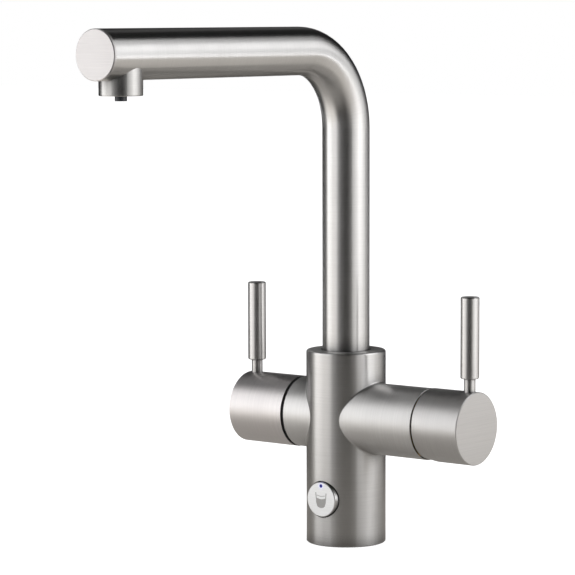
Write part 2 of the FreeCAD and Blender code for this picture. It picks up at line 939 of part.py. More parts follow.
def aerator():
    """The threaded ring in the outlet, its open grid and the drilled core behind it."""
    shell = tube(
        "aerator_shell",
        "outlet_bore",
        "aerator_bore",
        "aerator_depth",
        y="-outlet_reach",
        z="grid_bottom",
    )
    finish(shell, "aerator_shell")

    hub = "(nozzle_radius + grid_bar)"
    pitch = f"(aerator_bore - {hub}) / 3"
    parts = []
    for i in range(4):
        outer = f"{hub} + {pitch} * {i}"
        ring = tube(
            f"grid_ring_{i}",
            outer,
            f"{outer} - grid_bar",
            "grid_thickness",
            y="-outlet_reach",
            z="grid_bottom",
        )
        parts.append(ring)
    for i in range(8):
        rib = doc.addObject("Part::Box", f"grid_rib_{i}")
        turn = FreeCAD.Rotation(FreeCAD.Vector(0, 0, 1), 45 * i)
        start = turn.multVec(FreeCAD.Vector(1, 0, 0))
        side = turn.multVec(FreeCAD.Vector(0, 1, 0))
        rib.Placement = FreeCAD.Placement(FreeCAD.Vector(), turn)
        bind(
            rib,
            Length=f"aerator_bore - {hub}",
            Width="grid_bar",
            Height="grid_thickness",
        )
        for axis, s, w, base in (
            ("x", start.x, side.x, "0"),
            ("y", start.y, side.y, "-outlet_reach"),
        ):
            text = f"{base} + (nozzle_radius + grid_bar / 2) * {s:.6f} - grid_bar / 2 * {w:.6f}"
            rib.setExpression("Placement.Base." + axis, formula(text))
        rib.setExpression("Placement.Base.z", formula("grid_bottom"))
        parts.append(rib)
    finish(join("aerator_grid", *parts), "aerator_grid")

    core = tube(
        "aerator_core_blank",
        "aerator_bore",
        "nozzle_radius",
        "aerator_depth - grid_thickness - core_gap",
        y="-outlet_reach",
        z="grid_bottom + grid_thickness + core_gap",
    )
    ways = []
    count = 10
    for i in range(count):
        angle = 2 * math.pi * i / count
        middle = "(aerator_bore + nozzle_radius) / 2"
        ways.append(
            rod(
                f"core_way_{i}",
                "core_way_radius",
                "aerator_depth",
                x=f"{middle} * {math.cos(angle):.6f}",
                y=f"{middle} * {math.sin(angle):.6f} - outlet_reach",
                z="grid_bottom",
            )
        )
    finish(cut("aerator_core", core, *ways), "aerator_core")


def filtered_nozzle():
    """The small nozzle in the middle of the outlet, with a socket for the inner tube."""
    corners = [
        ("inner_bore", "0"),
        ("nozzle_radius", "0"),
        ("nozzle_radius", "nozzle_length"),
        ("inner_tube_radius", "nozzle_length"),
        ("inner_tube_radius", "nozzle_length - nozzle_socket"),
        ("inner_bore", "nozzle_length - nozzle_socket"),
    ]
    nozzle = turned("filtered_nozzle", corners, y="-outlet_reach", z="nozzle_bottom")
    finish(nozzle, "filtered_nozzle")


def inner_line(name, radius):
    """The line of the filtered water tube: along the spout's axis, then down into the nozzle."""
    start = "foot_bottom + inner_tube_seat"
    upright = rod(name + "_upright", radius, f"bend_start - {start.replace('+', '-')}", z=start)
    bend = doc.addObject("Part::Torus", name + "_bend")
    bend.Angle3 = 90
    bend.Placement = FreeCAD.Placement(
        FreeCAD.Vector(), FreeCAD.Rotation(FreeCAD.Vector(1, 1, 1), 120)
    )
    bend.setExpression("Placement.Base.y", formula("-bend_radius"))
    bend.setExpression("Placement.Base.z", formula("bend_start"))
    bind(bend, Radius1="bend_radius", Radius2=radius)
    level = rod(
        name + "_level",
        radius,
        "outlet_reach - inner_bend - bend_radius",
        "front",
        y="-bend_radius",
        z="spout_height",
    )
    elbow = doc.addObject("Part::Torus", name + "_elbow")
    elbow.Angle3 = 90
    downwards = FreeCAD.Rotation(
        FreeCAD.Vector(0, 0, 1), FreeCAD.Vector(0, -1, 0), FreeCAD.Vector(1, 0, 0), "ZXY"
    )
    elbow.Placement = FreeCAD.Placement(FreeCAD.Vector(), downwards)
    elbow.setExpression("Placement.Base.y", formula("inner_bend - outlet_reach"))
    elbow.setExpression("Placement.Base.z", formula("spout_height - inner_bend"))
    bind(elbow, Radius1="inner_bend", Radius2=radius)
    drop = rod(
        name + "_drop",
        radius,
        "spout_height - inner_bend - inner_tube_end",
        y="-outlet_reach",
        z="inner_tube_end",
    )
    return join(name, upright, bend, level, elbow, drop)


def filtered_inner_tube():
    outside = inner_line("inner_tube_outside", "inner_tube_radius")
    inside = inner_line("inner_tube_inside", "inner_bore")
    finish(cut("filtered_inner_tube", outside, inside), "filtered_inner_tube")


# ---------------------------------------------------------------- knobs and levers


def lever(name, place_text):
    """A thick round rod on a thin neck, threaded into the top of its knob."""
    corners = [
        ("0", "neck_bottom - lever_thread_length"),
        ("lever_thread_radius", "neck_bottom - lever_thread_length"),
        ("lever_thread_radius", "neck_bottom"),
        ("neck_radius", "neck_bottom"),
        ("neck_radius", "lever_bottom"),
        ("lever_radius - lever_chamfer", "lever_bottom"),
        ("lever_radius", "lever_bottom + lever_chamfer"),
        ("lever_radius", "lever_bottom + lever_length - lever_chamfer"),
        ("lever_radius - lever_chamfer", "lever_bottom + lever_length"),
        ("0", "lever_bottom + lever_length"),
    ]
    finish(turned(name, corners, x=place_text, z="handle_height"), name)


def lever_hole(name, place_text):
    """The stepped hole for a lever's neck and thread."""
    corners = [
        ("0", "neck_bottom - lever_thread_length"),
        ("lever_thread_radius", "neck_bottom - lever_thread_length"),
        ("lever_thread_radius", "neck_bottom"),
        ("neck_radius", "neck_bottom"),
        ("neck_radius", "knob_radius + 1"),
        ("0", "knob_radius + 1"),
    ]
    return turned(name, corners, x=place_text, z="handle_height")


def grub_screw(name, place_text, tip):
    """A socket grub screw that clamps a knob from below; tip is its distance from the arm's axis."""
    start = f"handle_height - {tip}"
    screw = rod(name + "_blank", "grub_radius", "grub_length", "down", x=place_text, z=start)
    socket = hexagon(
        name + "_socket",
        "grub_radius / 2",
        "grub_radius + 1",
        "down",
        x=place_text,
        z=f"handle_height - {tip} - grub_length + grub_radius",
    )
    finish(cut(name, screw, socket), name)


def left_knob():
    """The filter knob: hollow towards the arm, solid at its outer end."""
    corners = [
        ("0", "left_hub"),
        ("knob_bore", "left_hub"),
        ("knob_bore", "left_knob_start"),
        ("knob_radius", "left_knob_start"),
        ("knob_radius", "left_knob_end - knob_edge"),
        ("knob_radius - knob_edge", "left_knob_end"),
        ("0", "left_knob_end"),
    ]
    blank = turned("left_knob_blank", corners, "left", z="handle_height")
    seat_depth = "drive_gap + spline_length"
    seat = rod("adapter_seat", "adapter_radius", seat_depth, "left", x="-left_hub", z="handle_height")
    screw_hole = rod(
        "left_screw_hole",
        "grub_radius",
        "knob_radius",
        "down",
        x="-(left_hub + left_grub_inset)",
        z="handle_height",
    )
    hole = lever_hole("left_lever_hole", "-left_lever_place")
    finish(cut("left_knob", blank, seat, screw_hole, hole), "left_knob")
    lever("left_lever", "-left_lever_place")
    grub_screw("left_grub_screw", "-(left_hub + left_grub_inset)", "adapter_radius")


def relieved_skirt():
    """The mixer knob's inner rim, shaved at the bottom so that it dips inside the arm when tilted."""
    rim = doc.addObject("Part::Circle", "relief_rim")
    place(rim, "right", x="right_knob_start", z="handle_height + relief_drop - relief_side")
    bind(rim, Radius="knob_radius - relief_side")
    end = doc.addObject("Part::Circle", "relief_end")
    place(end, "right", x="right_knob_start + relief_length", z="handle_height")
    bind(end, Radius="knob_radius + relief_runout")
    envelope = doc.addObject("Part::Loft", "relief_envelope")
    envelope.Sections = [rim, end]
    envelope.Solid = True
    envelope.Ruled = True
    skirt = rod(
        "skirt_blank", "knob_radius", "relief_length", "right", x="right_knob_start", z="handle_height"
    )
    relieved = doc.addObject("Part::MultiCommon", "relieved_skirt")
    relieved.Shapes = [skirt, envelope]
    return relieved


def right_knob():
    """The mixer knob: a relieved skirt towards the arm, and a hub that grips the square stem."""
    corners = [
        ("0", "right_knob_start + relief_length"),
        ("knob_radius", "right_knob_start + relief_length"),
        ("knob_radius", "right_knob_end - knob_edge"),
        ("knob_radius - knob_edge", "right_knob_end"),
        ("0", "right_knob_end"),
    ]
    drum = turned("right_knob_drum", corners, "right", z="handle_height")
    blank = join("right_knob_blank", drum, relieved_skirt())
    bore = rod(
        "right_knob_bore",
        "knob_bore",
        "right_bore_depth + 1",
        "right",
        x="right_knob_start - 1",
        z="handle_height",
    )
    square = block(
        "stem_socket",
        "stem_grip",
        "stem_square",
        "stem_square",
        "right_hub",
        "-stem_square / 2",
        "handle_height - stem_square / 2",
    )
    screw_hole = rod(
        "right_screw_hole",
        "grub_radius",
        "knob_radius",
        "down",
        x="right_hub + right_grub_inset",
        z="handle_height",
    )
    hole = lever_hole("right_lever_hole", "right_lever_place")
    finish(cut("right_knob", blank, bore, square, screw_hole, hole), "right_knob")
    lever("right_lever", "right_lever_place")
    grub_screw("right_grub_screw", "right_hub + right_grub_inset", "stem_square / 2")


# ---------------------------------------------------------------- filter valve


def filter_valve_housing():
    """The valve's barrel with its outlet windows, hexagon flange and spindle guide."""
    barrel = turned(
        "filter_barrel",
        [
            ("guide_bore", "chamber_end"),
            ("filter_chamber_radius", "chamber_end"),
            ("filter_chamber_radius", "filter_disc_start"),
            ("filter_barrel_radius", "filter_disc_start"),
            ("filter_barrel_radius", "flange_end"),
            ("filter_guide_radius", "flange_end"),
            ("filter_guide_radius", "guide_end"),
            ("guide_bore", "guide_end"),
        ],
        "left",
        z="handle_height",
    )
    flange = hexagon(
        "filter_hexagon",
        "filter_flange_radius",
        "filter_flange_thickness",
        "left",
        x="-barrel_end",
        z="handle_height",
    )
    flange_bore = rod(
        "filter_hexagon_bore",
        "(filter_barrel_radius + guide_bore) / 2",
        "filter_flange_thickness",
        "left",
        x="-barrel_end",
        z="handle_height",
    )
    outer = join("filter_housing_blank", barrel, cut("filter_flange", flange, flange_bore))
    windows = block(
        "filter_windows",
        "window_length",
        "window_width",
        "filter_barrel_radius * 2 + 2",
        "-(crossing_offset + window_length / 2)",
        "-window_width / 2",
        "handle_height - filter_barrel_radius - 1",
    )
    finish(cut("filter_valve_housing", outer, windows), "filter_valve_housing")


def filter_discs():
    """The seat washer and the two ceramic discs, whose holes meet after a quarter turn."""
    washer = tube(
        "filter_seat_washer",
        "filter_barrel_radius",
        "way_radius",
        "seat_washer_thickness",
        "left",
        x="-filter_seat",
        z="handle_height",
    )
    finish(washer, "filter_seat_washer")
    discs = [
        ("filter_fixed_disc", "filter_disc_start", "0", "1"),
        ("filter_moving_disc", "filter_moving_start", "1", "0"),
    ]
    for name, start, across, upright in discs:
        blank = rod(
            name + "_blank",
            "filter_disc_radius",
            "filter_disc_thickness",
            "left",
            x="-" + start,
            z="handle_height",
        )
        holes = []
        for label, side in (("near", ""), ("far", "-")):
            holes.append(
                rod(
                    f"{name}_{label}_hole",
                    "filter_way_radius",
                    "filter_disc_thickness",
                    "left",
                    x="-" + start,
                    y=f"{side}filter_way_offset * {across}",
                    z=f"handle_height + {side}filter_way_offset * {upright}",
                )
            )
        finish(cut(name, blank, *holes), name)


def spline_grooves(body, sketch_name, corners, length, teeth):
    """Cuts one groove into a turned body and repeats it round the axis."""
    sketch = outline_sketch(body, sketch_name, "XY_Plane", corners)
    groove = body.newObject("PartDesign::Pocket", sketch_name + "_pocket")
    groove.Profile = sketch
    groove.Reversed = True
    bind(groove, Length=length)
    pattern = body.newObject("PartDesign::PolarPattern", sketch_name + "_pattern")
    pattern.Originals = [groove]
    pattern.Axis = (next(f for f in body.Origin.OriginFeatures if f.Role == "Z_Axis"), [""])
    pattern.Angle = 360
    pattern.Occurrences = teeth
    body.Tip = pattern


def filter_spindle():
    """The spindle: drive plate behind the moving disc, plain shaft, and splined outer end.

    It is drawn from its outer end inwards, so that the spline starts at the body's own origin.
    The moulded bush between the spindle and the knob has the same teeth inside.
    """
    shaft = "spline_end - drive_start"
    corners = [
        ("0", "0"),
        ("spindle_radius", "0"),
        ("spindle_radius", f"{shaft} - drive_plate_thickness"),
        ("filter_disc_radius", f"{shaft} - drive_plate_thickness"),
        ("filter_disc_radius", shaft),
        ("0", shaft),
    ]
    shaft_body = turned("filter_spindle", corners, "right", x="-spline_end", z="handle_height")
    tooth = [
        ("spindle_radius - spline_tooth", "0"),
        ("spindle_radius + spline_tooth", "spline_tooth"),
        ("spindle_radius + spline_tooth", "-spline_tooth"),
    ]
    spline_grooves(shaft_body, "spindle_groove", tooth, "spline_length", 20)
    finish(shaft_body, "filter_spindle")

    bush = rod(
        "adapter_blank",
        "adapter_radius",
        "spline_length",
        "left",
        x="-spline_start",
        z="handle_height",
    )
    finish(cut("spline_adapter", bush, shaft_body), "spline_adapter")


def filter_slip_ring():
    """The dark ring that closes the gap between the left arm and its knob."""
    ring = tube(
        "filter_slip_ring",
        "slip_ring_radius",
        "slip_ring_bore",
        "left_gap - slip_ring_gap",
        "left",
        x="-left_arm_reach",
        z="handle_height",
    )
    finish(ring, "filter_slip_ring")


# ---------------------------------------------------------------- mixer cartridge


def port_rods(name, radius, start, length):
    """Three rods at the cartridge's hot, cold and mixed ports."""
    ports = [
        ("hot", "inlet_spread", "handle_height + inlet_rise"),
        ("cold", "-inlet_spread", "handle_height + inlet_rise"),
        ("mixed", "0", "handle_height - outlet_drop"),
    ]
    rods = []
    for label, y, z in ports:
        rods.append(rod(f"{name}_{label}", radius, length, "right", x=start, y=y, z=z))
    return rods


def mixer_base():
    """The cartridge's base plate with its port seals, and the fixed ceramic disc on it."""
    plate = rod(
        "base_plate_blank",
        "cartridge_radius",
        "base_plate_thickness",
        "right",
        x="mixer_seat",
        z="handle_height",
    )
    seal_seats = port_rods("seal_seat", "way_radius + port_seal_width", "mixer_seat", "port_seal_depth")
    ways = port_rods("base_way", "way_radius", "mixer_seat", "base_plate_thickness")
    finish(cut("mixer_base_plate", plate, *seal_seats, *ways), "mixer_base_plate")

    outer = port_rods("seal_outside", "way_radius + port_seal_width", "mixer_seat", "port_seal_depth")
    inner = port_rods("seal_inside", "way_radius", "mixer_seat", "port_seal_depth")
    seals = [cut(f"port_seal_{i}", outer[i], inner[i]) for i in range(len(outer))]
    finish(gather("mixer_port_seals", *seals), "mixer_port_seals")

    disc = rod(
        "fixed_disc_blank",
        "fixed_disc_radius",
        "fixed_disc_thickness",
        "right",
        x="fixed_disc_start",
        z="handle_height",
    )
    disc_ways = port_rods("disc_way", "way_radius", "fixed_disc_start", "fixed_disc_thickness")
    finish(cut("mixer_fixed_disc", disc, *disc_ways), "mixer_fixed_disc")


def mixer_housing():
    """The cartridge's outer cup, with the neck that the rotor turns in."""
    corners = [
        ("cartridge_chamber", "fixed_disc_start"),
        ("cartridge_radius", "fixed_disc_start"),
        ("cartridge_radius", "shoulder_end"),
        ("neck_radius_out", "shoulder_end"),
        ("neck_radius_out", "neck_reach"),
        ("neck_bore", "neck_reach"),
        ("neck_bore", "chamber_top"),
        ("cartridge_chamber", "chamber_top"),
    ]
    finish(turned("mixer_housing", corners, "right", z="handle_height"), "mixer_housing")
    nut = [
        ("cartridge_radius", "nut_start"),
        ("nut_radius", "nut_start"),
        ("nut_radius", "nut_end"),
        ("neck_radius_out", "nut_end"),
        ("neck_radius_out", "shoulder_end"),
        ("cartridge_radius", "shoulder_end"),
    ]
    finish(turned("mixer_retaining_nut", nut, "right", z="handle_height"), "mixer_retaining_nut")


def moving_discs():
    """The sliding ceramic disc, recessed underneath, and the holder that the stem's ball drives."""
    centre = "handle_height - disc_set_back"
    disc = rod(
        "moving_disc_blank",
        "moving_disc_radius",
        "moving_disc_thickness",
        "right",
        x="moving_disc_start",
        z=centre,
    )
    recess = rod(
        "moving_disc_recess_cut",
        "moving_disc_recess",
        "recess_depth",
        "right",
        x="moving_disc_start",
        z=f"{centre} - recess_offset",
    )
    finish(cut("mixer_moving_disc", disc, recess), "mixer_moving_disc")
    holder = rod(
        "disc_holder_blank",
        "moving_disc_radius",
        "holder_thickness",
        "right",
        x="holder_start",
        z=centre,
    )
    pocket = block(
        "ball_pocket",
        "holder_thickness",
        "(ball_radius + ball_slack) * 2",
        "(ball_radius + ball_slack) * 2",
        "holder_start + holder_floor",
        "-(ball_radius + ball_slack)",
        "handle_height - ball_radius - ball_slack",
    )
    finish(cut("mixer_disc_holder", holder, pocket), "mixer_disc_holder")


def mixer_carrier():
    """The rotor: a flange held under the housing's shoulder and a fork for the pivot pin."""
    corners = [
        ("0", "flange_start"),
        ("carrier_flange_radius", "flange_start"),
        ("carrier_flange_radius", "carrier_flange_end"),
        ("neck_bore - running_clearance", "carrier_flange_end"),
        ("neck_bore - running_clearance", "pivot_place + ear_top"),
        ("0", "pivot_place + ear_top"),
    ]
    blank = turned("carrier_blank", corners, "right", z="handle_height")
    fork = block(
        "carrier_fork",
        "pivot_place + ear_top - carrier_flange_end + 1",
        "fork_width",
        "neck_bore * 2 + 2",
        "carrier_flange_end",
        "-fork_width / 2",
        "handle_height - neck_bore - 1",
    )
    ball_way = block(
        "carrier_ball_way",
        "carrier_flange_thickness + 2",
        "fork_width",
        "ball_radius * 2 + disc_set_back * 2 + 2.6",
        "flange_start - 1",
        "-fork_width / 2",
        "handle_height - ball_radius - 1.3",
    )
    pin_hole = rod(
        "carrier_pin_hole",
        "pin_radius",
        "neck_bore * 2",
        "rear",
        x="pivot_place",
        y="-neck_bore",
        z="handle_height",
    )
    finish(cut("mixer_carrier", blank, fork, ball_way, pin_hole), "mixer_carrier")
    pin = rod(
        "mixer_pivot_pin",
        "pin_radius",
        "(neck_bore - pin_inset) * 2",
        "rear",
        x="pivot_place",
        y="pin_inset - neck_bore",
        z="handle_height",
    )
    finish(pin, "mixer_pivot_pin")


def mixer_stem():
    """The stem: a square end for the knob, a block on the pivot pin and a ball that moves the discs."""
    ball = doc.addObject("Part::Sphere", "stem_ball")
    place(ball, x="ball_place", z="handle_height")
    bind(ball, Radius="ball_radius")
    arm = rod(
        "stem_arm",
        "ball_arm_radius",
        "pivot_place - ball_place",
        "right",
        x="ball_place",
        z="handle_height",
    )
    middle = block(
        "stem_block",
        "stem_block_back + stem_block_front",
        "fork_width - fork_slack * 2",
        "stem_block_height",
        "pivot_place - stem_block_back",
        "fork_slack - fork_width / 2",
        "handle_height - stem_block_height / 2",
    )
    square = block(
        "stem_square_end",
        "stem_end - pivot_place",
        "stem_square",
        "stem_square",
        "pivot_place",
        "-stem_square / 2",
        "handle_height - stem_square / 2",
    )
    hole = rod(
        "stem_pin_hole",
        "pin_radius + running_clearance",
        "fork_width",
        "rear",
        x="pivot_place",
        y="-fork_width / 2",
        z="handle_height",
    )
    finish(cut("mixer_stem", join("stem_blank", ball, arm, middle, square), hole), "mixer_stem")


# ---------------------------------------------------------------- push button


def button_cap():
    """The metal cap: a flat round face with a skirt that slides in the sleeve, and a centre post."""
    corners = [
        ("0", "switch_front + plunger_stand"),
        ("plunger_radius", "switch_front + plunger_stand"),
        ("plunger_radius", "button_back"),
        ("button_radius - button_skirt", "button_back"),
        ("button_radius - button_skirt", "button_back - button_skirt_length"),
        ("button_radius", "button_back - button_skirt_length"),
        ("button_radius", "button_front - button_edge"),
        ("button_radius - button_edge", "button_front"),
        ("0", "button_front"),
    ]
    blank = turned("button_blank", corners, "front", z="button_height")
    window = rod(
        "light_window",
        "light_radius",
        "button_face",
        "front",
        y="-button_back",
        z="button_height + light_rise",
    )
    finish(cut("button_cap", blank, window), "button_cap")
    lens = rod(
        "light_lens",
        "light_radius",
        "button_face",
        "front",
        y="-button_back",
        z="button_height + light_rise",
    )
    finish(lens, "light_lens")


def button_housing():
    """The dark sleeve behind the cap, with the switch and the light post on its floor."""
    corners = [
        ("0", "sleeve_back"),
        ("sleeve_radius", "sleeve_back"),
        ("sleeve_radius", "sleeve_front"),
        ("sleeve_bore", "sleeve_front"),
        ("sleeve_bore", "sleeve_inside"),
        ("0", "sleeve_inside"),
    ]
    finish(turned("button_housing", corners, "front", z="button_height"), "button_housing")
    case = block(
        "switch_case",
        "switch_side",
        "switch_height",
        "switch_side",
        "-switch_side / 2",
        "-switch_front",
        "button_height - switch_side / 2",
    )
    hole = rod(
        "switch_hole",
        "plunger_radius + running_clearance",
        "plunger_sink + button_travel + 1",
        "front",
        y="plunger_sink + button_travel - switch_front",
        z="button_height",
    )
    finish(cut("button_switch", case, hole), "button_switch")
    plunger = rod(
        "switch_plunger",
        "plunger_radius",
        "plunger_sink - button_travel / 2 + plunger_stand",
        "front",
        y="plunger_sink - button_travel / 2 - switch_front",
        z="button_height",
    )
    finish(plunger, "switch_plunger")
    post = rod(
        "status_light",
        "light_post_radius",
        "button_back - light_post_gap - sleeve_inside",
        "front",
        y="-sleeve_inside",
        z="button_height + light_rise",
    )
    finish(post, "status_light")


def button_dome():
    """The soft rubber dome round the switch, which pushes the cap back out."""
    foot_top = "sleeve_inside + dome_flange"
    rim = "button_back - dome_rim"
    corners = [
        ("dome_radius - dome_rim - dome_wall", "sleeve_inside"),
        ("dome_radius", "sleeve_inside"),
        ("dome_radius", foot_top),
        ("dome_top_radius", rim),
        ("dome_top_radius", "button_back"),
        ("dome_top_radius - dome_wall * 2", "button_back"),
        ("dome_top_radius - dome_wall * 2", rim),
        ("dome_top_radius - dome_wall", rim),
        ("dome_radius - dome_wall", foot_top),
        ("dome_radius - dome_rim - dome_wall", foot_top),
    ]
    finish(turned("button_dome", corners, "front", z="button_height"), "button_dome")


# ---------------------------------------------------------------- whole tap


def build():
    body_shell()
    foot_seal()
    fixing_plate()
    cable_grommet()
    spout_bearings()
    stop_screw()
    spout_tube()
    spout_end_cap()
    spout_foot()
    spout_o_rings()
    outlet_socket()
    aerator()
    filtered_nozzle()
    filtered_inner_tube()
    left_knob()
    right_knob()
    filter_valve_housing()
    filter_discs()
    filter_spindle()
    filter_slip_ring()
    mixer_base()
    mixer_housing()
    moving_discs()
    mixer_carrier()
    mixer_stem()
    button_cap()
    button_housing()
    button_dome()
    doc.recompute()


def check():
    """Stops if any object failed or any sub-part is empty or not valid."""
    for item in doc.Objects:
        if "Invalid" in item.State or "Error" in item.State:
            raise RuntimeError(f"{item.Name} failed: {item.State}")
    for item in finished:
        if item.Shape.isNull() or not item.Shape.isValid() or not item.Shape.Solids:
            raise RuntimeError(f"{item.Label} has no valid solid")


def export():
    os.makedirs("parts", exist_ok=True)
    for item in finished:
        item.Shape.exportStep(f"parts/{item.Label}.step")
        print(f"{item.Label}: {len(item.Shape.Solids)} solid(s), {item.Shape.Volume:.1f} mm3")


sizes = write_sheet("Sizes", SIZES, False)
derived = write_sheet("Derived", DERIVED, True)
build()
check()
export()
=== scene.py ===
# %% [markdown]
# # A three way filtered water tap in satin steel
# A kitchen tap: a round column with two arms, a turning knob with a rod lever at
# the end of each arm, a tall bent spout and a lit button near the foot.
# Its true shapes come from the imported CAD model, so this file only adds looks:
# finishes, one printed sign, a floor, soft studio light and a camera.

import math

import bmesh
import bpy
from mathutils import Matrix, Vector


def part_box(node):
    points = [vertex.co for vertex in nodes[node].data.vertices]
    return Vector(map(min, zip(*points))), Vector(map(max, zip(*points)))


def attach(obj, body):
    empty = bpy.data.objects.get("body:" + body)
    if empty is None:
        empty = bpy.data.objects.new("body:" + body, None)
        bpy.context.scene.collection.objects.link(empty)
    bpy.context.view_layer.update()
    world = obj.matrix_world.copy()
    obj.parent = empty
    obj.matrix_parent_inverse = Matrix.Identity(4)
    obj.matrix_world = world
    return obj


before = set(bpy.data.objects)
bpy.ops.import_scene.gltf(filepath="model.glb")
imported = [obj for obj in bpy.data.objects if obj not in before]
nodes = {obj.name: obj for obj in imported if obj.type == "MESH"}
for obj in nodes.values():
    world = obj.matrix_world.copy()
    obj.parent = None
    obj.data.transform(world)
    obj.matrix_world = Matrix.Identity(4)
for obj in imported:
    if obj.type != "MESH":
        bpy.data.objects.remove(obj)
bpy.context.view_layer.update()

# %% [markdown]
# ## The places that the finishes need
# A turned finish runs in rings round the line that the piece was turned on, so
# each finish has to know that line. The lines are read from the pieces' own boxes
# where possible. The spout's bend is given by its radius.

# %% Lines and radii, in metres
column_low, column_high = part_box("spout_tube")
TUBE_RADIUS = (column_high.x - column_low.x) / 2
SPOUT_TOP = column_high.z
SPOUT_AXIS = SPOUT_TOP - TUBE_RADIUS
BEND_RADIUS = 0.0484
BEND_START = SPOUT_AXIS - BEND_RADIUS
COLUMN_RADIUS = 0.025
ARM_AXIS = 0.080
lever_low, lever_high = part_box("left_lever")
LEFT_LEVER_X = (lever_low.x + lever_high.x) / 2
lever_low, lever_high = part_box("right_lever")
RIGHT_LEVER_X = (lever_low.x + lever_high.x) / 2
button_low, button_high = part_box("button_cap")
BUTTON_CENTRE = (button_low + button_high) / 2
BUTTON_FACE = button_low.y
print("tube radius", round(TUBE_RADIUS, 5), "axis height", round(SPOUT_AXIS, 5))
print("button centre", [round(v, 5) for v in BUTTON_CENTRE], "face at y", round(BUTTON_FACE, 5))

# %% [markdown]
# ## Smooth shading
# A mesh is many flat triangles, and a round tube looks round when each corner
# knows the true surface direction. These meshes bring those directions with them.
# One that doesn't is shaded smooth, with edges sharper than 30 degrees kept crisp.

# %% Shade every piece smooth, with crisp edges
for piece in nodes.values():
    if not piece.data.has_custom_normals:
        piece.data.shade_smooth()
        piece.data.set_sharp_from_angle(angle=math.radians(30))
print("custom normals kept on", sum(p.data.has_custom_normals for p in nodes.values()), "pieces")

# %% [markdown]
# ## Small helpers for node trees
# A material is a tree of nodes. These helpers add a node, set plain values on it
# and plug other nodes into it, so that each finish below reads as a short recipe.


# %% Helpers
def add_node(tree, kind, settings=None, **inputs):
    """Adds a node. A number or tuple is set on its input, and a socket is linked to it."""
    node = tree.nodes.new(kind)
    for name, value in (settings or {}).items():
        setattr(node, name, value)
    for name, value in inputs.items():
        label = int(name[1:]) if name[1:].isdigit() else name.replace("_", " ")
        target = node.inputs[label]
        if isinstance(value, bpy.types.NodeSocket):
            tree.links.new(value, target)
        else:
            target.default_value = value
    return node


def maths(tree, operation, first, second=0.0):
    """One sum on values, such as ADD or MULTIPLY."""
    node = add_node(tree, "ShaderNodeMath", {"operation": operation}, _0=first, _1=second)
    return node.outputs[0]


def on_vectors(tree, operation, first, second):
    """One sum on vectors. DOT_PRODUCT and DISTANCE give a value, and the others a vector."""
    node = add_node(
        tree, "ShaderNodeVectorMath", {"operation": operation}, _0=first, _1=second
    )
    return node.outputs["Value" if operation in ("DOT_PRODUCT", "DISTANCE") else "Vector"]


def mixed(tree, kind, share, first, second):
    """Blends two numbers, vectors or colours. A share of 0 is the first, and 1 the second."""
    first_input, output = {"FLOAT": (2, 0), "VECTOR": (4, 1), "RGBA": (6, 2)}[kind]
    node = add_node(tree, "ShaderNodeMix", {"data_type": kind}, _0=share)
    for place, value in ((first_input, first), (first_input + 1, second)):
        if isinstance(value, bpy.types.NodeSocket):
            tree.links.new(value, node.inputs[place])
        else:
            node.inputs[place].default_value = value
    return node.outputs[output]


def object_place(tree):
    """The point on the piece, in metres from the tap's origin."""
    return add_node(tree, "ShaderNodeTexCoord").outputs["Object"]


def object_side(tree):
    """The direction in which the surface looks."""
    return add_node(tree, "ShaderNodeTexCoord").outputs["Normal"]


def noise(tree, place, scale, detail, roughness):
    """A soft noise between 0 and 1."""
    node = add_node(
        tree, "ShaderNodeTexNoise", Vector=place, Scale=scale, Detail=detail, Roughness=roughness
    )
    return node.outputs[0]


def start_material(name):
    """A new material, its node tree and its shader."""
    material = bpy.data.materials.new(name)
    material.use_nodes = True
    tree = material.node_tree
    return material, tree, tree.nodes["Principled BSDF"]


def scaled(tree, value, low, high, to_low, to_high):
    """Stretches a value from one range to another and holds it inside."""
    node = add_node(
        tree, "ShaderNodeMapRange", {"interpolation_type": "SMOOTHSTEP"},
        _0=value, _1=low, _2=high, _3=to_low, _4=to_high,
    )
    return node.outputs[0]


def new_group(name, inputs, outputs):
    """An empty node group with named sockets. Each is (name, kind, start value)."""
    group = bpy.data.node_groups.new(name, "ShaderNodeTree")
    for label, kind, value in inputs:
        socket = group.interface.new_socket(label, in_out="INPUT", socket_type="NodeSocket" + kind)
        if value is not None:
            socket.default_value = value
    for label, kind in outputs:
        group.interface.new_socket(label, in_out="OUTPUT", socket_type="NodeSocket" + kind)
    return group, group.nodes.new("NodeGroupInput"), group.nodes.new("NodeGroupOutput")


# %% [markdown]
# ## Turning marks
# Satin steel is rubbed while it spins, so it is covered in very fine rings. Each
# ring is long round the piece and hardly any wide along it. A noise texture does
# this when its space is squeezed hard along the turning line and left slack
# across it. One group serves every satin piece. Its Fineness says how close the
# rings lie, and it gives out a height, a tone and a roughness.


# %% The turning marks group
marks_group, given, result = new_group(
    "Turning marks",
    [("Position", "Vector", None), ("Along", "Float", 0.0), ("Fineness", "Float", 4000.0)],
    [("Height", "Float"), ("Tone", "Float"), ("Roughness", "Float")],
)
SLACK = 22.0
BROADER = 0.31
split = add_node(marks_group, "ShaderNodeSeparateXYZ", _0=given.outputs["Position"])
across, deep, up = split.outputs
slow_a = maths(marks_group, "MULTIPLY", maths(marks_group, "ADD", across, deep), SLACK)
slow_b = maths(marks_group, "MULTIPLY", maths(marks_group, "SUBTRACT", up, across), SLACK)
quick = maths(marks_group, "MULTIPLY", given.outputs["Along"], given.outputs["Fineness"])
fine_space = add_node(marks_group, "ShaderNodeCombineXYZ", _0=quick, _1=slow_a, _2=slow_b)
fine = noise(marks_group, fine_space.outputs[0], 1.0, 3.0, 0.65)
broad_quick = maths(marks_group, "MULTIPLY", quick, BROADER)
broad_space = add_node(marks_group, "ShaderNodeCombineXYZ", _0=broad_quick, _1=slow_b, _2=slow_a)
broad = noise(marks_group, broad_space.outputs[0], 1.0, 2.0, 0.5)
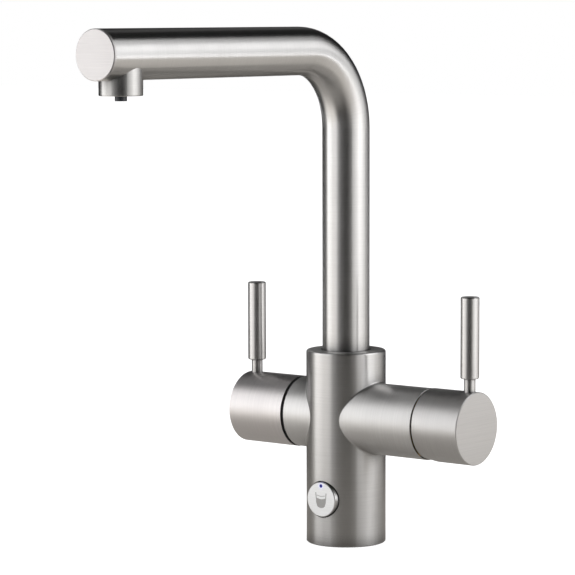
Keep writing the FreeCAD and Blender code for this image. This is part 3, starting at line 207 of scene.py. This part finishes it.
both = maths(
    marks_group, "ADD",
    maths(marks_group, "MULTIPLY", fine, 0.7), maths(marks_group, "MULTIPLY", broad, 0.3),
)
marks_group.links.new(fine, result.inputs["Height"])
marks_group.links.new(both, result.inputs["Tone"])
marks_group.links.new(broad, result.inputs["Roughness"])
print("turning marks group has", len(marks_group.nodes), "nodes")

# %% [markdown]
# ## Handled metal, edge polish and painted crease shade
# Hands leave soft, slightly duller clouds on a tap, and cloths polish its edges.
# The clouds are a large, gentle noise. The edges come from the Bevel node: where
# its rounded surface direction leaves the true one, there is an edge close by.
# Each crease gets painted shade: its colour is darkened where little open air is near.


# %% The handling group, the edge group and the painted crease shade group
cloud_group, given, result = new_group(
    "Handling clouds", [("Position", "Vector", None), ("Size", "Float", 60.0)], [("Mask", "Float")]
)
cloud = noise(cloud_group, given.outputs["Position"], given.outputs["Size"], 3.0, 0.55)
cloud_mask = scaled(cloud_group, cloud, 0.35, 0.72, 0.0, 1.0)
cloud_group.links.new(cloud_mask, result.inputs["Mask"])

edge_group, given, result = new_group(
    "Edge polish", [("Reach", "Float", 0.0006)], [("Mask", "Float")]
)
rounded = add_node(edge_group, "ShaderNodeBevel", {"samples": 6}, Radius=given.outputs["Reach"])
true_side = add_node(edge_group, "ShaderNodeNewGeometry").outputs["Normal"]
agreement = on_vectors(edge_group, "DOT_PRODUCT", rounded.outputs[0], true_side)
edge_mask = scaled(edge_group, agreement, 0.985, 0.85, 0.0, 1.0)
edge_group.links.new(edge_mask, result.inputs["Mask"])

# This group paints shade: it gives a mask that darkens the colour where little open air is near.
painted_crease_group, given, result = new_group(
    "Painted crease shade", [("Reach", "Float", 0.006)], [("Mask", "Float")]
)
open_air = add_node(
    painted_crease_group, "ShaderNodeAmbientOcclusion", {"samples": 8}, Distance=given.outputs["Reach"]
)
painted_crease_mask = scaled(painted_crease_group, open_air.outputs["AO"], 0.97, 0.40, 0.0, 1.0)
painted_crease_group.links.new(painted_crease_mask, result.inputs["Mask"])
print("groups:", [g.name for g in bpy.data.node_groups])

# %% [markdown]
# ## Where the turning lines run
# Three small recipes give each satin piece two things: how far a point is along
# its turning line, and the direction in which highlights stretch. Rings stretch
# a highlight across themselves, so along the tube on its side. A flat end is
# rubbed straight across instead, so there the highlight stretches upwards.


# %% Straight turning lines
def turned_about(tree, position, axis, centre):
    """(distance along, stretch direction) for a piece turned about a straight line."""
    line = [1.0 if i == axis else 0.0 for i in range(3)]
    rub_axis = 1 if axis == 2 else 2
    rub_line = [1.0 if i == rub_axis else 0.0 for i in range(3)]
    from_line = on_vectors(tree, "SUBTRACT", position, centre)
    parts = add_node(tree, "ShaderNodeSeparateXYZ", _0=from_line)
    facing_end = on_vectors(tree, "DOT_PRODUCT", object_side(tree), line)
    on_end = scaled(tree, maths(tree, "ABSOLUTE", facing_end), 0.6, 0.9, 0.0, 1.0)
    along = mixed(tree, "FLOAT", on_end, parts.outputs[axis], parts.outputs[rub_axis])
    stretch = mixed(tree, "VECTOR", on_end, line, rub_line)
    return along, stretch


# %% The bent line of the spout
def along_spout(tree, position):
    """The same two for the tube that rises, bends and runs forward."""
    parts = add_node(tree, "ShaderNodeSeparateXYZ", _0=position)
    above = maths(tree, "SUBTRACT", parts.outputs[2], BEND_START)
    behind = maths(tree, "ADD", parts.outputs[1], BEND_RADIUS)
    over_start = maths(tree, "MAXIMUM", above, 0.0)
    turned = maths(tree, "ARCTAN2", over_start, maths(tree, "MAXIMUM", behind, 0.0001))
    round_bend = maths(tree, "MULTIPLY", turned, BEND_RADIUS)
    rise = maths(tree, "MINIMUM", above, 0.0)
    run = maths(tree, "MAXIMUM", maths(tree, "MULTIPLY", behind, -1.0), 0.0)
    along = maths(tree, "ADD", maths(tree, "ADD", rise, run), round_bend)
    forward = maths(tree, "MULTIPLY", maths(tree, "SINE", turned), -1.0)
    upward = maths(tree, "COSINE", turned)
    stretch = add_node(tree, "ShaderNodeCombineXYZ", _0=0.0, _1=forward, _2=upward)
    return along, stretch.outputs[0]


# %% The column and its arms
ORIGIN = (0.0, 0.0, 0.0)
ARM_START, ARM_FULL = COLUMN_RADIUS + 0.0002, COLUMN_RADIUS + 0.0012


def on_body_arms(tree, position):
    """1 on the arms and 0 on the column, by the distance from the column's axis."""
    flat = on_vectors(tree, "MULTIPLY", position, (1.0, 1.0, 0.0))
    reach = on_vectors(tree, "DISTANCE", flat, ORIGIN)
    return scaled(tree, reach, ARM_START, ARM_FULL, 0.0, 1.0)


def along_body(tree, position):
    """The same two. The column is rubbed in rings, and the arms lengthwise."""
    column_along, column_stretch = turned_about(tree, position, 2, ORIGIN)
    arm_along, arm_line = turned_about(tree, position, 0, (0.0, 0.0, ARM_AXIS))
    around = on_vectors(tree, "CROSS_PRODUCT", object_side(tree), arm_line)
    on_arm = on_body_arms(tree, position)
    along = mixed(tree, "FLOAT", on_arm, column_along, arm_along)
    return along, mixed(tree, "VECTOR", on_arm, column_stretch, around)


# %% [markdown]
# ## Satin steel
# The body of the tap is stainless steel with a satin finish: a metal, so its
# Metallic is 1 and its colour is the colour of its mirror. The roughness sets how
# soft the studio is in it, and Anisotropic stretches that softness across the
# turning marks. Marks, clouds and edges then vary colour, roughness and height,
# and painted shade darkens the colour near each crease.


# %% Numbers of the satin finish
SATIN_TONE = (0.69, 0.682, 0.676)
MARK_FINENESS = 5200.0
MARK_DEPTH, MARK_LIFT = 0.035, 0.00008
CLOUD_SIZE = 55.0
EDGE_REACH = 0.0005
# The crease reach and the crease factor paint shade into the colour near each crease.
PAINTED_CREASE_REACH = 0.013
DARK_MARKS, PALE_MARKS, POLISHED, CREASE_SHADE_PAINT = 0.95, 1.05, 1.2, 0.42
CLOUD_STEP, MARK_STEP, EDGE_STEP, SLEEK_STEP = 0.035, 0.008, 0.06, 0.02
LOWEST_ROUGHNESS = 0.28


def shade_of(tone, factor, limit=1.0):
    """The tone made lighter or darker, up to a limit, as a colour with alpha."""
    return [min(value * factor, limit) for value in tone] + [1.0]


def mask_of(tree, group, **inputs):
    """The mask that one of the groups above gives out."""
    return add_node(tree, "ShaderNodeGroup", {"node_tree": group}, **inputs).outputs["Mask"]


def bumped(tree, height, strength, lift):
    """The surface direction with fine relief from a height. The lift is in metres."""
    node = add_node(tree, "ShaderNodeBump", Strength=strength, Distance=lift, Height=height)
    return node.outputs[0]


# %% The satin steel recipe
def satin_steel(name, lines, tone=SATIN_TONE, roughness=0.35, stretch_amount=0.75, sleeker=None):
    """Satin steel whose rings follow a line recipe. It is a step less rough where sleeker is 1."""
    material, tree, shader = start_material(name)
    place = object_place(tree)
    along, stretch = lines(tree, place)
    marks = add_node(
        tree, "ShaderNodeGroup", {"node_tree": marks_group},
        Position=place, Along=along, Fineness=MARK_FINENESS,
    )
    clouds = mask_of(tree, cloud_group, Position=place, Size=CLOUD_SIZE)
    edges = mask_of(tree, edge_group, Reach=EDGE_REACH)
    painted_crease_shade = mask_of(tree, painted_crease_group, Reach=PAINTED_CREASE_REACH)

    mark_share = scaled(tree, marks.outputs["Tone"], 0.3, 0.7, 0.0, 1.0)
    steel = mixed(tree, "RGBA", mark_share, shade_of(tone, DARK_MARKS), shade_of(tone, PALE_MARKS))
    worn_share = maths(tree, "MULTIPLY", edges, 0.7)
    worn = mixed(tree, "RGBA", worn_share, steel, shade_of(tone, POLISHED, limit=0.95))
    # Painted shade: the colour darkens near each crease, where little open air is.
    shaded = mixed(tree, "RGBA", painted_crease_shade, worn, shade_of(tone, CREASE_SHADE_PAINT))
    tree.links.new(shaded, shader.inputs["Base Color"])

    cloud_rough = maths(tree, "MULTIPLY", clouds, CLOUD_STEP)
    mark_rough = scaled(tree, marks.outputs["Roughness"], 0.3, 0.7, -MARK_STEP, MARK_STEP)
    rough = maths(tree, "ADD", maths(tree, "ADD", roughness - 0.02, cloud_rough), mark_rough)
    rough = maths(tree, "SUBTRACT", rough, maths(tree, "MULTIPLY", edges, EDGE_STEP))
    if sleeker:
        sleek = maths(tree, "MULTIPLY", sleeker(tree, place), SLEEK_STEP)
        rough = maths(tree, "SUBTRACT", rough, sleek)
    rough = maths(tree, "MAXIMUM", rough, LOWEST_ROUGHNESS)
    tree.links.new(rough, shader.inputs["Roughness"])

    tree.links.new(
        bumped(tree, marks.outputs["Height"], MARK_DEPTH, MARK_LIFT), shader.inputs["Normal"]
    )
    in_world = add_node(
        tree, "ShaderNodeVectorTransform",
        {"vector_type": "VECTOR", "convert_from": "OBJECT", "convert_to": "WORLD"}, _0=stretch,
    )
    tree.links.new(in_world.outputs[0], shader.inputs["Tangent"])
    shader.inputs["Metallic"].default_value = 1.0
    shader.inputs["Anisotropic"].default_value = stretch_amount
    return material


# %% Lines of the turned pieces
def about(axis, centre):
    """The line recipe of a piece that was turned about one straight line."""
    return lambda tree, place: turned_about(tree, place, axis, centre)


X, Y, Z = 0, 1, 2
outlet_low, outlet_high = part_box("outlet_socket")
OUTLET_Y = (outlet_low.y + outlet_high.y) / 2
about_arms = about(X, (0.0, 0.0, ARM_AXIS))
about_column = about(Z, ORIGIN)
about_outlet = about(Z, (0.0, OUTLET_Y, 0.0))
about_left_lever = about(Z, (LEFT_LEVER_X, 0.0, 0.0))
about_right_lever = about(Z, (RIGHT_LEVER_X, 0.0, 0.0))
about_spout_end = about(Y, (0.0, 0.0, SPOUT_AXIS))
about_button = about(Y, (0.0, 0.0, BUTTON_CENTRE.z))
print("outlet at y", round(OUTLET_Y, 5))
print("levers at x", round(LEFT_LEVER_X, 5), "and", round(RIGHT_LEVER_X, 5))

# %% [markdown]
# ## One finish for each turned piece
# The pieces were rubbed on different wheels, so their softness differs a little,
# and their tones differ too. The right knob's darker tone is painted shade, and the
# button's pale tone is a painted highlight. The spout's flat end is the softest, and
# the outlet is the darkest.

# %% Make the satin finishes
body_steel = satin_steel(
    "body satin steel", along_body, roughness=0.33, stretch_amount=0.9, sleeker=on_body_arms
)
left_knob_steel = satin_steel(
    "left knob steel", about_arms, tone=(0.84, 0.81, 0.808), roughness=0.45, stretch_amount=0.15
)
# The right knob's steel is a darker copy of the left knob's: painted shade.
right_knob_shaded_steel = satin_steel(
    "right knob shaded steel", about_arms, tone=(0.71, 0.698, 0.693), roughness=0.45, stretch_amount=0.15
)
spout_steel = satin_steel("spout satin steel", along_spout, roughness=0.30, stretch_amount=0.85)
foot_steel = satin_steel("spout foot steel", about_column)
end_steel = satin_steel(
    "spout end steel", about_spout_end, tone=(0.69, 0.67, 0.67), roughness=0.48, stretch_amount=0.4
)
outlet_steel = satin_steel("outlet steel", about_outlet, tone=(0.55, 0.542, 0.53), roughness=0.30)
left_lever_steel = satin_steel("left lever steel", about_left_lever, roughness=0.30)
right_lever_steel = satin_steel("right lever steel", about_right_lever, roughness=0.30)
# The button's pale tone is a painted highlight.
button_highlight_steel = satin_steel(
    "button painted highlight steel", about_button, tone=(0.90, 0.90, 0.90), roughness=0.33
)
print("satin finishes:", [m.name for m in bpy.data.materials if m.name.endswith("steel")])

# %% [markdown]
# ## The button's face
# The button is paler than the column, which is a painted highlight: its steel has
# a pale tone, and its Metallic falls where it looks forward, so the face shows as a
# pale, part-matt white. The lamp behind the lens also lights the face near it with
# a faint blue ring.

# %% Paint a highlight on the button's face and let its light glow on it
HALO_INNER, HALO_OUTER = 0.0012, 0.0036
HIGHLIGHT_FACE_METAL = 0.35
BLACK = (0.0, 0.0, 0.0, 1.0)
lens_low, lens_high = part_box("light_lens")
lens_centre = (lens_low + lens_high) / 2
tree = button_highlight_steel.node_tree
shader = tree.nodes["Principled BSDF"]
# Painted highlight: the forward face loses metal, so its pale tone shows as a matt white.
frontal = on_vectors(tree, "DOT_PRODUCT", object_side(tree), (0.0, -1.0, 0.0))
highlight_face_metal = scaled(tree, frontal, 0.90, 0.98, 1.0, HIGHLIGHT_FACE_METAL)
tree.links.new(highlight_face_metal, shader.inputs["Metallic"])
from_lens = on_vectors(tree, "DISTANCE", object_place(tree), tuple(lens_centre))
halo = scaled(tree, from_lens, HALO_INNER, HALO_OUTER, 1.0, 0.0)
glow = mixed(tree, "RGBA", halo, BLACK, (0.05, 0.06, 0.30, 1.0))
tree.links.new(glow, shader.inputs["Emission Color"])
shader.inputs["Emission Strength"].default_value = 0.5
print("lens centre", [round(v, 5) for v in lens_centre])

# %% [markdown]
# ## Moulded plastic, rubber and the small insides
# The seals, the nozzle and the trim rings are dark and soft in their shine. Their
# grain is a fine noise that feeds a bump and the roughness, which is enough for a
# piece of a few millimetres. The brass and ceramic insides use the same recipe.


# %% The moulded and cast recipe
GRAIN_LIFT = 0.00004


def moulded(name, colour, roughness, metallic=0.0, grain=3000.0, depth=0.15):
    """A piece with a fine even grain: plastic, rubber, ceramic or plain metal."""
    material, tree, shader = start_material(name)
    place = object_place(tree)
    grit = noise(tree, place, grain, 3.0, 0.6)
    clouds = mask_of(tree, cloud_group, Position=place, Size=90.0)
    edges = mask_of(tree, edge_group, Reach=0.0003)
    plain = list(colour) + [1.0]
    rubbed = [min(value * 1.35 + 0.015, 1.0) for value in colour] + [1.0]
    cloud_wear = maths(tree, "MULTIPLY", clouds, 0.3)
    wear = maths(tree, "ADD", cloud_wear, maths(tree, "MULTIPLY", edges, 0.5))
    tree.links.new(mixed(tree, "RGBA", wear, plain, rubbed), shader.inputs["Base Color"])
    rough = scaled(tree, grit, 0.3, 0.7, roughness - 0.05, roughness + 0.05)
    tree.links.new(rough, shader.inputs["Roughness"])
    tree.links.new(bumped(tree, grit, depth, GRAIN_LIFT), shader.inputs["Normal"])
    shader.inputs["Metallic"].default_value = metallic
    return material


# %% Make the moulded and cast finishes
ring_black = moulded("black ring plastic", (0.018, 0.018, 0.020), 0.42)
seal_rubber = moulded("seal rubber", (0.025, 0.025, 0.026), 0.62, grain=2200.0, depth=0.3)
nozzle_dark = moulded("nozzle plastic", (0.022, 0.024, 0.030), 0.30)
pale_plastic = moulded("pale plastic", (0.62, 0.62, 0.60), 0.40)
bare_brass = moulded("bare brass", (0.72, 0.52, 0.25), 0.32, metallic=1.0)
plate_steel = moulded("plate steel", (0.52, 0.52, 0.51), 0.38, metallic=1.0)
fired_ceramic = moulded("fired ceramic", (0.84, 0.83, 0.80), 0.22)

# %% [markdown]
# ## The blue light
# A tiny blue lens sits in the upper part of the button, with a darker middle
# where the lamp is. It is a clear plastic dot, so a glossy blue shader with a
# little glow is enough. The glow grows from the dark middle to the rim.


# %% Make the lens finish
LENS_CORE, LENS_RIM = 0.0004, 0.0011
RIM_BLUE = (0.05, 0.06, 0.40, 1.0)
lens_blue, tree, shader = start_material("blue lens")
across = on_vectors(tree, "SUBTRACT", object_place(tree), tuple(lens_centre))
flat = on_vectors(tree, "MULTIPLY", across, (1.0, 0.0, 1.0))
from_middle = on_vectors(tree, "DISTANCE", flat, ORIGIN)
rim = scaled(tree, from_middle, LENS_CORE, LENS_RIM, 0.0, 1.0)
glass = mixed(tree, "RGBA", rim, (0.012, 0.012, 0.045, 1.0), RIM_BLUE)
glow = mixed(tree, "RGBA", rim, (0.01, 0.01, 0.05, 1.0), RIM_BLUE)
tree.links.new(glass, shader.inputs["Base Color"])
tree.links.new(glow, shader.inputs["Emission Color"])
shader.inputs["Emission Strength"].default_value = 0.5
shader.inputs["Roughness"].default_value = 0.25
print("lens radius in metres:", round((lens_high.x - lens_low.x) / 2, 5))

# %% [markdown]
# ## Dress the pieces
# Each piece of the model takes one finish. A piece keeps its mesh and its place,
# and only its material changes.

# %% Give every piece its finish
finishes = {
    "body_shell": body_steel,
    "left_knob": left_knob_steel,
    "right_knob": right_knob_shaded_steel,
    "spout_tube": spout_steel,
    "spout_foot": foot_steel,
    "spout_end_cap": end_steel,
    "outlet_socket": outlet_steel,
    "aerator_shell": plate_steel,
    "left_lever": left_lever_steel,
    "right_lever": right_lever_steel,
    "button_cap": button_highlight_steel,
    "light_lens": lens_blue,
    "base_seal_ring": seal_rubber,
    "spout_o_rings": seal_rubber,
    "cable_grommet": seal_rubber,
    "button_dome": seal_rubber,
    "mixer_port_seals": seal_rubber,
    "filter_seat_washer": seal_rubber,
    "filter_slip_ring": ring_black,
    "spout_thrust_washer": ring_black,
    "spout_bush": ring_black,
    "button_housing": ring_black,
    "switch_plunger": ring_black,
    "button_switch": ring_black,
    "filtered_nozzle": nozzle_dark,
    "aerator_grid": nozzle_dark,
    "aerator_core": nozzle_dark,
    "filtered_inner_tube": pale_plastic,
    "status_light": pale_plastic,
    "spline_adapter": pale_plastic,
    "mixer_base_plate": pale_plastic,
    "mixer_housing": pale_plastic,
    "mixer_carrier": pale_plastic,
    "mixer_disc_holder": pale_plastic,
    "mixer_retaining_nut": bare_brass,
    "filter_valve_housing": bare_brass,
    "filter_spindle": bare_brass,
    "mixer_stem": plate_steel,
    "mixer_pivot_pin": plate_steel,
    "fixing_plate": plate_steel,
    "spout_stop_screw": plate_steel,
    "left_grub_screw": plate_steel,
    "right_grub_screw": plate_steel,
    "mixer_fixed_disc": fired_ceramic,
    "mixer_moving_disc": fired_ceramic,
    "filter_fixed_disc": fired_ceramic,
    "filter_moving_disc": fired_ceramic,
}
for name, finish in finishes.items():
    piece = nodes[name]
    piece.data.materials.clear()
    piece.data.materials.append(finish)
print("pieces without a finish:", sorted(set(nodes) - set(finishes)))

# %% [markdown]
# ## The sign on the button
# The button carries a small printed tumbler, a plain sign for drinking water. It
# is ink, so it has almost no thickness: a flat shape a few hundredths of a
# millimetre in front of the steel. Its outline is a short list of points, and
# the water in it is a second shape with a wavy top.


# %% Draw the tumbler
INK_LIFT = 0.00004


def printed(name, outlines, finish):
    """Flat shapes on the button, each a list of (x, z) in millimetres from its centre."""
    mesh = bpy.data.meshes.new(name)
    shape = bmesh.new()
    for outline in outlines:
        places = [
            (x / 1000, BUTTON_FACE - INK_LIFT, BUTTON_CENTRE.z + z / 1000) for x, z in outline
        ]
        face = shape.faces.new([shape.verts.new(place) for place in places])
        if face.normal.y > 0:
            face.normal_flip()
    bmesh.ops.triangulate(shape, faces=shape.faces[:])
    shape.to_mesh(mesh)
    shape.free()
    ink = bpy.data.objects.new(name, mesh)
    bpy.context.scene.collection.objects.link(ink)
    mesh.materials.append(finish)
    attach(ink, "button")
    return ink


# %% Outlines of the tumbler and its water, in millimetres
TUMBLER_TOP, WATER_TOP, TUMBLER_LOW = 4.2, 0.5, -5.3
BOTTOM_HALF, BOTTOM_DEPTH = 3.1, 1.7
ink_grey = moulded("printed grey", (0.35, 0.34, 0.33), 0.45, grain=9000.0, depth=0.05)
ink_pale = moulded("printed pale grey", (0.44, 0.43, 0.425), 0.45, grain=9000.0, depth=0.05)
left_wall = [(-4.4, TUMBLER_TOP), (-3.7, TUMBLER_TOP), (-3.3, WATER_TOP), (-4.0, WATER_TOP)]
right_wall = [(-x, z) for x, z in reversed(left_wall)]


def ripple(middle, half_width, rise):
    """Points along a gentle wave, from left to right."""
    steps = [i / 24 for i in range(25)]
    return [(half_width * (2 * t - 1), middle + rise * math.cos(math.pi * 2 * t)) for t in steps]


def bottom_point(degrees):
    """A point on the tumbler's round bottom, which is a flat half ellipse."""
    a = math.radians(degrees)
    bottom_axis = TUMBLER_LOW + BOTTOM_DEPTH
    return BOTTOM_HALF * math.cos(a), bottom_axis + BOTTOM_DEPTH * math.sin(a)


upper_ripple = ripple(WATER_TOP + 1.9, 3.2, 0.25) + ripple(WATER_TOP + 1.5, 3.2, 0.25)[::-1]
bottom = [bottom_point(degrees) for degrees in range(0, -181, -15)]
water = ripple(WATER_TOP, 3.95, 0.30) + [(3.7, -2.0)] + bottom + [(-3.7, -2.0)]
glass_sign = printed("button_sign_glass", [left_wall, right_wall, upper_ripple], ink_pale)
water_sign = printed("button_sign_water", [water], ink_grey)
ink_faces = len(glass_sign.data.polygons) + len(water_sign.data.polygons)
print("printed shapes:", ink_faces, "triangles")

# %% [markdown]
# ## The floor and the backdrop
# The tap stands on a plain pale floor in a white room. The floor is paint that
# takes a soft shadow, with a share of its own white added for what the camera
# and mirrors see, so it reads as white without more light on the tap.


# %% Rays that see the studio
WHITE = (1.0, 1.0, 1.0, 1.0)


def seen_by_eye(tree):
    """1 for what the camera sees, straight or in a mirror, and 0 for light on matt things."""
    ray = add_node(tree, "ShaderNodeLightPath").outputs
    mirrored = maths(tree, "MAXIMUM", ray["Is Glossy Ray"], ray["Is Transmission Ray"])
    return maths(tree, "MAXIMUM", ray["Is Camera Ray"], mirrored)


# %% Floor
FLOOR_GLOW = 0.66
bpy.ops.mesh.primitive_plane_add(size=16.0, location=(0.0, 0.0, 0.0))
floor = bpy.context.object
floor.name = "studio_floor"
floor_paint, tree, shader = start_material("pale floor")
shader.inputs["Base Color"].default_value = (0.86, 0.86, 0.86, 1.0)
shader.inputs["Roughness"].default_value = 0.9
shader.inputs["Specular IOR Level"].default_value = 0.1
shader.inputs["Emission Color"].default_value = WHITE
floor_level = maths(tree, "MULTIPLY", seen_by_eye(tree), FLOOR_GLOW)
tree.links.new(floor_level, shader.inputs["Emission Strength"])
floor.data.materials.append(floor_paint)

# %% White room
ROOM_LEVEL = 0.55
room = bpy.data.worlds.new("white room")
bpy.context.scene.world = room
room.use_nodes = True
tree = room.node_tree
tree.nodes.clear()
room_level = scaled(tree, seen_by_eye(tree), 0.0, 1.0, ROOM_LEVEL, 1.0)
white = add_node(tree, "ShaderNodeBackground", Color=WHITE, Strength=room_level)
end = add_node(tree, "ShaderNodeOutputWorld")
tree.links.new(white.outputs[0], end.inputs["Surface"])
print("room level for matt surfaces:", ROOM_LEVEL)

# %% [markdown]
# ## The camera
# The view is from the front and a little to the right, slightly above the
# middle of the tap, through a long lens so that the upright lines stay nearly
# parallel.

# %% Camera
CAMERA_TURN, CAMERA_DROP, CAMERA_ROLL = 38.19, 5.44, 0.13
lens = bpy.data.cameras.new("camera")
lens.lens = 181.73
lens.sensor_width = 36.0
camera = bpy.data.objects.new("camera", lens)
camera.location = (1.0923, -1.4473, 0.3336)
camera_angles = (90.0 - CAMERA_DROP, CAMERA_ROLL, CAMERA_TURN)
camera.rotation_euler = [math.radians(angle) for angle in camera_angles]
bpy.context.scene.collection.objects.link(camera)
bpy.context.scene.camera = camera

# %% [markdown]
# ## Soft light and a black curtain
# Satin steel shows the studio more than itself. A photographer lights it with a
# wide bank of soft strips at each side, which give the long bright bands, and
# keeps the front, the back and the top black, which gives the dark lines that
# show its roundness. Each strip is placed by its turn from the camera, to the
# right, and has three boxes one above the other, the lowest first.

# %% Where a thing stands, seen from the tap
TARGET = Vector((0.0, -0.03, 0.16))
turn = math.radians(CAMERA_TURN)
TOWARDS = Vector((math.sin(turn), -math.cos(turn), 0.0))
SIDEWAYS = Vector((math.cos(turn), math.sin(turn), 0.0))


def towards(azimuth):
    """The level direction at a turn to the camera's right, in degrees."""
    a = math.radians(azimuth)
    return TOWARDS * math.cos(a) + SIDEWAYS * math.sin(a)


def facing(item, azimuth, height, distance):
    """Puts an item at a turn and an angle above level, with its front to the tap."""
    h = math.radians(height)
    item.location = TARGET + distance * (
        towards(azimuth) * math.cos(h) + Vector((0.0, 0.0, math.sin(h)))
    )
    item.rotation_euler = (TARGET - item.location).to_track_quat("-Z", "Y").to_euler()


# %% Soft boxes: metres, degrees, and the brightness of each strip's three boxes
BOX_DISTANCE = 1.5
STRIP_TURN = 15.0
STRIP_OVERLAP = 1.02
BOX_HEIGHTS = (4.0, 24.0, 44.0)
BOX_TALL = 20.0
SOFT_STRIPS = {
    -142.5: (0.00, 0.40, 0.30),
    -112.5: (0.29, 0.89, 0.00),
    -97.5: (1.88, 1.69, 0.03),
    -82.5: (1.64, 1.24, 0.95),
    -67.5: (1.12, 0.97, 1.22),
    -52.5: (1.17, 0.88, 0.47),
    -37.5: (0.51, 0.18, 0.00),
    -22.5: (0.15, 0.00, 0.00),
    22.5: (0.14, 0.00, 0.00),
    37.5: (1.03, 0.40, 0.00),
    52.5: (1.46, 0.77, 0.18),
    67.5: (1.96, 1.39, 0.88),
    82.5: (1.65, 1.65, 1.39),
    97.5: (0.90, 1.77, 1.66),
    112.5: (0.58, 1.06, 0.31),
    127.5: (0.25, 0.00, 0.00),
    142.5: (0.13, 0.00, 0.00),
    172.5: (0.23, 0.06, 0.07),
    187.5: (0.20, 0.00, 0.00),
}


def span(degrees):
    """The width in metres that fills an angle at the boxes' distance."""
    return 2 * BOX_DISTANCE * math.tan(math.radians(degrees / 2))


box_count = 0
for azimuth, levels in SOFT_STRIPS.items():
    for height, brightness in zip(BOX_HEIGHTS, levels):
        if brightness == 0.0:
            continue
        width = span(STRIP_TURN) * math.cos(math.radians(height)) * STRIP_OVERLAP
        tall = span(BOX_TALL)
        lamp = bpy.data.lights.new("soft box", "AREA")
        lamp.shape = "RECTANGLE"
        lamp.size, lamp.size_y = width, tall
        lamp.energy = brightness * math.pi * width * tall
        item = bpy.data.objects.new("soft_box_" + str(box_count), lamp)
        bpy.context.scene.collection.objects.link(item)
        facing(item, azimuth, height, BOX_DISTANCE)
        box_count += 1
print("soft boxes:", box_count)

# %% [markdown]
# ## The curtain and the floor's sheen
# Mirrors would see the white room between the soft boxes, so a black curtain
# hangs behind them. In a mirror a real floor is grey near the tap and paler
# beside the soft boxes, so a card on the floor shows that. Only mirrors see the
# two: the camera, the floor and the matt pieces don't.


# %% Things that only mirrors see
def only_in_mirrors(name, mesh, colour, shade):
    """A stage piece that glows by its own recipe and shows in reflections alone."""
    item = bpy.data.objects.new(name, mesh)
    bpy.context.scene.collection.objects.link(item)
    paint, tree, shader = start_material(name)
    shader.inputs["Base Color"].default_value = BLACK
    shader.inputs["Specular IOR Level"].default_value = 0.0
    shader.inputs["Emission Color"].default_value = colour
    tree.links.new(shade(tree, object_place(tree)), shader.inputs["Emission Strength"])
    mesh.materials.append(paint)
    item.visible_camera = False
    item.visible_diffuse = False
    item.visible_shadow = False
    item.visible_transmission = False


# %% Hang the curtain
def curtain_shade(tree, place):
    """Nearly black, a touch paler towards the top."""
    parts = add_node(tree, "ShaderNodeSeparateXYZ", _0=place)
    return scaled(tree, parts.outputs[2], 0.0, CURTAIN_TALL, 0.006, 0.012)


CURTAIN_REACH, CURTAIN_TALL, CURTAIN_MIDDLE = 1.95, 2.4, 1.15
curtain_shape = bmesh.new()
bmesh.ops.create_cone(
    curtain_shape, cap_ends=True, segments=48,
    radius1=CURTAIN_REACH, radius2=CURTAIN_REACH, depth=CURTAIN_TALL,
)
bmesh.ops.translate(
    curtain_shape, verts=curtain_shape.verts[:], vec=(0.0, 0.0, CURTAIN_MIDDLE)
)
curtain_mesh = bpy.data.meshes.new("black_curtain")
curtain_shape.to_mesh(curtain_mesh)
curtain_shape.free()
only_in_mirrors("black_curtain", curtain_mesh, WHITE, curtain_shade)

# %% Lay the sheen card
CARD_REACH, CARD_LIFT = 1.48, 0.0004
LEFT_SHEEN, RIGHT_SHEEN = -78.0, 76.0
LEFT_LEVEL, RIGHT_LEVEL = 1.05, 0.68


def card_shade(tree, place):
    """Grey by the tap, and further out paler only beside the soft boxes."""
    reach = on_vectors(tree, "DISTANCE", place, ORIGIN)
    outward = on_vectors(tree, "NORMALIZE", place, ORIGIN)
    left = on_vectors(tree, "DOT_PRODUCT", outward, towards(LEFT_SHEEN))
    right = on_vectors(tree, "DOT_PRODUCT", outward, towards(RIGHT_SHEEN))
    left_sheen = scaled(tree, left, 0.70, 1.0, 0.0, LEFT_LEVEL)
    right_sheen = scaled(tree, right, 0.35, 1.0, 0.0, RIGHT_LEVEL)
    near = scaled(tree, reach, 0.05, 0.25, 0.29, 0.36)
    further_out = scaled(tree, reach, 0.24, 0.38, 0.0, 1.0)
    return mixed(tree, "FLOAT", further_out, near, maths(tree, "ADD", left_sheen, right_sheen))


card_shape = bmesh.new()
bmesh.ops.create_circle(card_shape, cap_ends=True, segments=64, radius=CARD_REACH)
bmesh.ops.translate(card_shape, verts=card_shape.verts[:], vec=(0.0, 0.0, CARD_LIFT))
card_mesh = bpy.data.meshes.new("sheen_card")
card_shape.to_mesh(card_mesh)
card_shape.free()
only_in_mirrors("sheen_card", card_mesh, (1.04, 0.99, 0.92, 1.0), card_shade)
print("curtain reach", CURTAIN_REACH, "m, card reach", CARD_REACH, "m")

# %% [markdown]
# ## Colours as they are
# The Standard view shows a colour as it was written, with no film look on top.

bpy.context.scene.view_settings.view_transform = "Standard"
